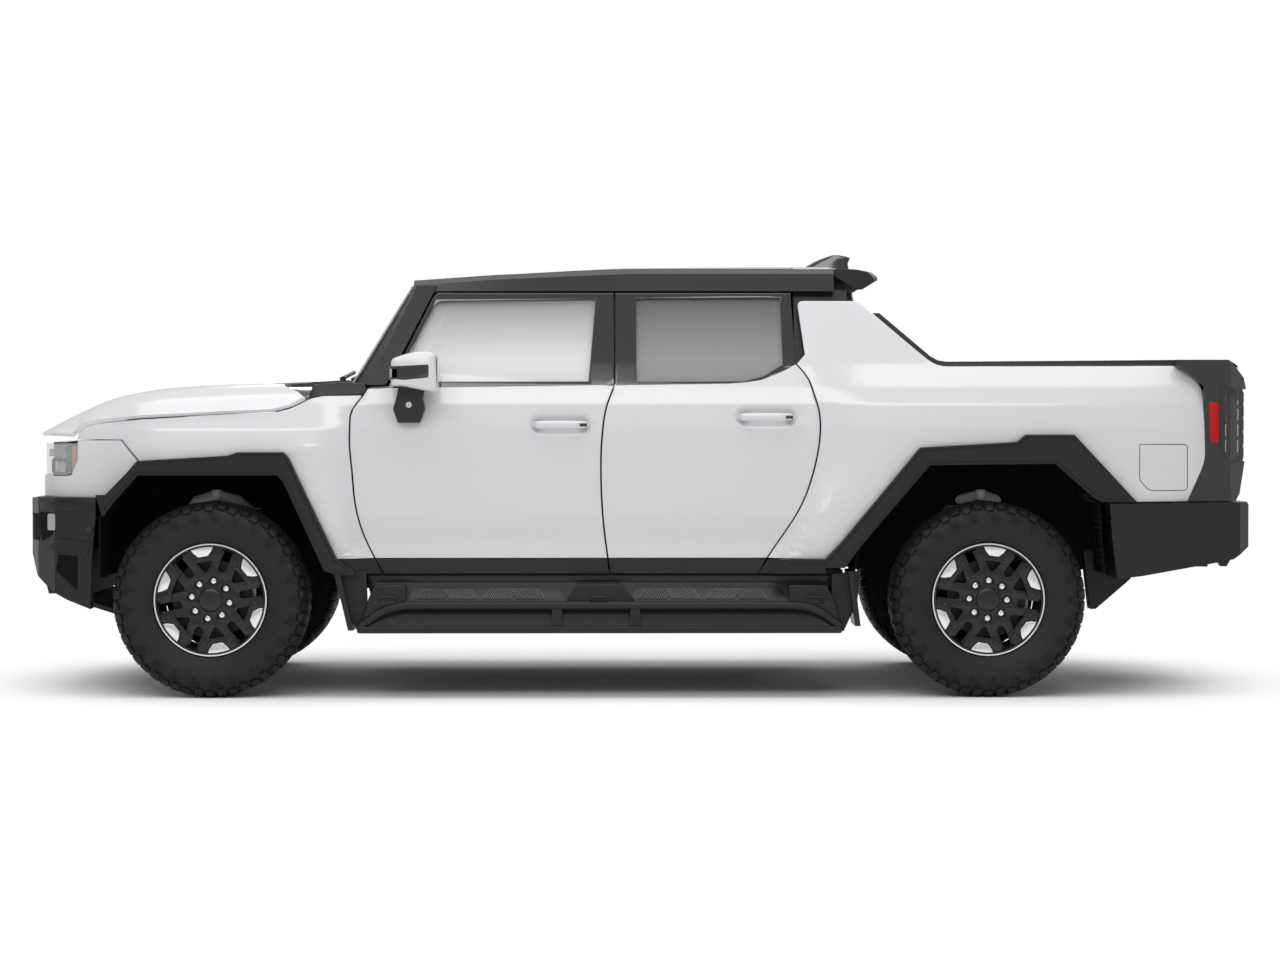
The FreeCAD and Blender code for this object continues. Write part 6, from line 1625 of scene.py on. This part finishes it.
def make_underbody():
    """Dark plates at the steps' ends that paint the shade under the body there, and the valance corner behind
    each rear wheel.
    """
    # The plates at the steps' ends are painted shade: dark sheets where the underside of the body lies in
    # shadow.
    front = prism([(-1338, 560), (-1190, 560), (-1180, 300), (-1230, 296), (-1300, 420)], -1040, -1012)
    rear = prism([(872, 545), (1000, 560), (985, 420), (925, 292), (872, 300)], -1040, -1012)
    side_pieces("step_brackets_and_shade_plates", joined(front, rear), GRAIN_BLACK, "body", smooth=20)
    valance = [(2030, 640), (2110, 640), (2266, 540), (2240, 505), (2086, 372), (2062, 372)]
    side_pieces("rear_valance", prism(valance, -742, -640), GRAIN_BLACK, "body", smooth=20)


def make_louvres():
    """Cowl grille: slim bars across the panel under the windscreen."""
    bars = []
    for k in range(7):
        x = -1430 + 22 * k
        z = 1392 + 1.2 * k
        bars.append(tube([(x, -700, z - 4), (x, -690, z + 3), (x, 690, z + 3), (x, 700, z - 4)], 4.5, 8))
    to_piece("cowl_louvres", *joined(*bars), GRAIN_BLACK, "body", 50)


for corner in CORNERS:
    make_springs(*corner)
    make_upper_arm(*corner)
for corner in CORNERS:
    make_shield(*corner)
make_liner_ribs()
make_underbody()
make_louvres()


# Floor, light and camera

# The camera in metres: its place and aim, the photo's width and focal length in pixels, a sensor in mm
CAMERA_PLACE = np.array([-0.1555, -16.390, 1.317])
CAMERA_AIM = np.array([0.034, 0.0, 0.939])
PHOTO_WIDTH = 1280.0
FOCAL_PIXELS = 3469.4
SENSOR = 36.0
# Half axes in metres of the oval beyond which the floor is plain white
FADE_LENGTH = 3.35
FADE_WIDTH = 2.8


def floor_material():
    """Matt near-white that turns to plain white for the camera outside an oval round the object."""
    material, nodes, links, shader = new_material("floor_white")
    set_inputs(shader, {"Base Color": (0.93, 0.93, 0.93, 1), "Roughness": 0.9, "Specular IOR Level": 0.1})
    place = add_node(nodes, "TexCoord")
    scaled = add_node(nodes, "Mapping", {"Scale": (1 / FADE_LENGTH, 1 / FADE_WIDTH, 0.0)})
    away = add_node(nodes, "VectorMath", operation="LENGTH")
    fade = add_node(nodes, "MapRange", {"From Min": 0.66, "From Max": 1.0}, interpolation_type="SMOOTHSTEP")
    path = add_node(nodes, "LightPath")
    both = add_node(nodes, "Math", operation="MULTIPLY")
    glow = add_node(nodes, "Emission", {"Strength": 1.0})
    mix = add_node(nodes, "MixShader")
    links.new(place.outputs["Object"], scaled.inputs["Vector"])
    links.new(scaled.outputs["Vector"], away.inputs[0])
    links.new(away.outputs["Value"], fade.inputs["Value"])
    links.new(fade.outputs["Result"], both.inputs[0])
    links.new(path.outputs["Is Camera Ray"], both.inputs[1])
    links.new(both.outputs[0], mix.inputs[0])
    links.new(shader.outputs[0], mix.inputs[1])
    links.new(glow.outputs[0], mix.inputs[2])
    links.new(mix.outputs[0], nodes["Material Output"].inputs["Surface"])
    return material


def make_floor():
    """A wide pale floor that takes the object's shadow."""
    vertices, faces = box((-40000, 40000), (-30000, 40000), (-60, 0))
    mesh = bpy.data.meshes.new("floor")
    mesh.from_pydata((vertices * MM).tolist(), [], faces)
    mesh.materials.append(floor_material())
    floor = bpy.data.objects.new("floor", mesh)
    bpy.context.scene.collection.objects.link(floor)


def make_world():
    """White to the camera and through glass, gentler where it lights the object."""
    world = bpy.data.worlds.new("studio")
    bpy.context.scene.world = world
    world.use_nodes = True
    nodes = world.node_tree.nodes
    links = world.node_tree.links
    light = nodes["Background"]
    set_inputs(light, {"Color": (1, 1, 1, 1), "Strength": 0.6})
    white = add_node(nodes, "Background", {"Color": (1, 1, 1, 1), "Strength": 1.0})
    path = add_node(nodes, "LightPath")
    both = add_node(nodes, "Math", operation="MAXIMUM")
    mix = add_node(nodes, "MixShader")
    links.new(path.outputs["Is Camera Ray"], both.inputs[0])
    links.new(path.outputs["Is Transmission Ray"], both.inputs[1])
    links.new(both.outputs[0], mix.inputs[0])
    links.new(light.outputs[0], mix.inputs[1])
    links.new(white.outputs[0], mix.inputs[2])
    links.new(mix.outputs[0], nodes["World Output"].inputs["Surface"])


def add_area(name, place, aim, size, power):
    """A soft rectangular light at a place, turned towards a point."""
    data = bpy.data.lights.new(name, "AREA")
    data.shape = "RECTANGLE"
    data.size, data.size_y = size
    data.energy = power
    lamp = bpy.data.objects.new(name, data)
    lamp.location = place
    lamp.rotation_euler = look_angles(np.array(aim) - np.array(place))
    bpy.context.scene.collection.objects.link(lamp)


def look_angles(direction):
    """Euler angles that turn a lamp's or camera's -Z along a direction, with +Y kept upright."""
    x, y, z = direction / np.linalg.norm(direction)
    return (math.acos(-z), 0.0, math.atan2(-x, y))


def make_camera():
    """The photo's camera: its long lens, place and aim."""
    data = bpy.data.cameras.new("camera")
    data.lens = SENSOR * FOCAL_PIXELS / PHOTO_WIDTH
    data.sensor_width = SENSOR
    camera = bpy.data.objects.new("camera", data)
    camera.location = CAMERA_PLACE
    camera.rotation_euler = look_angles(CAMERA_AIM - CAMERA_PLACE)
    bpy.context.scene.collection.objects.link(camera)
    bpy.context.scene.camera = camera


make_floor()
make_world()
add_area("top_light", (0.0, -1.0, 6.5), (0, 0, 1.0), (9.0, 5.0), 300)
add_area("side_light", (-1.0, -7.5, 5.5), (0, 0, 0.9), (8.0, 2.0), 190)
add_area("back_light", (1.0, 8.0, 5.0), (0, 0, 0.9), (8.0, 2.0), 190)
make_camera()
bpy.context.scene.view_settings.view_transform = "Standard"
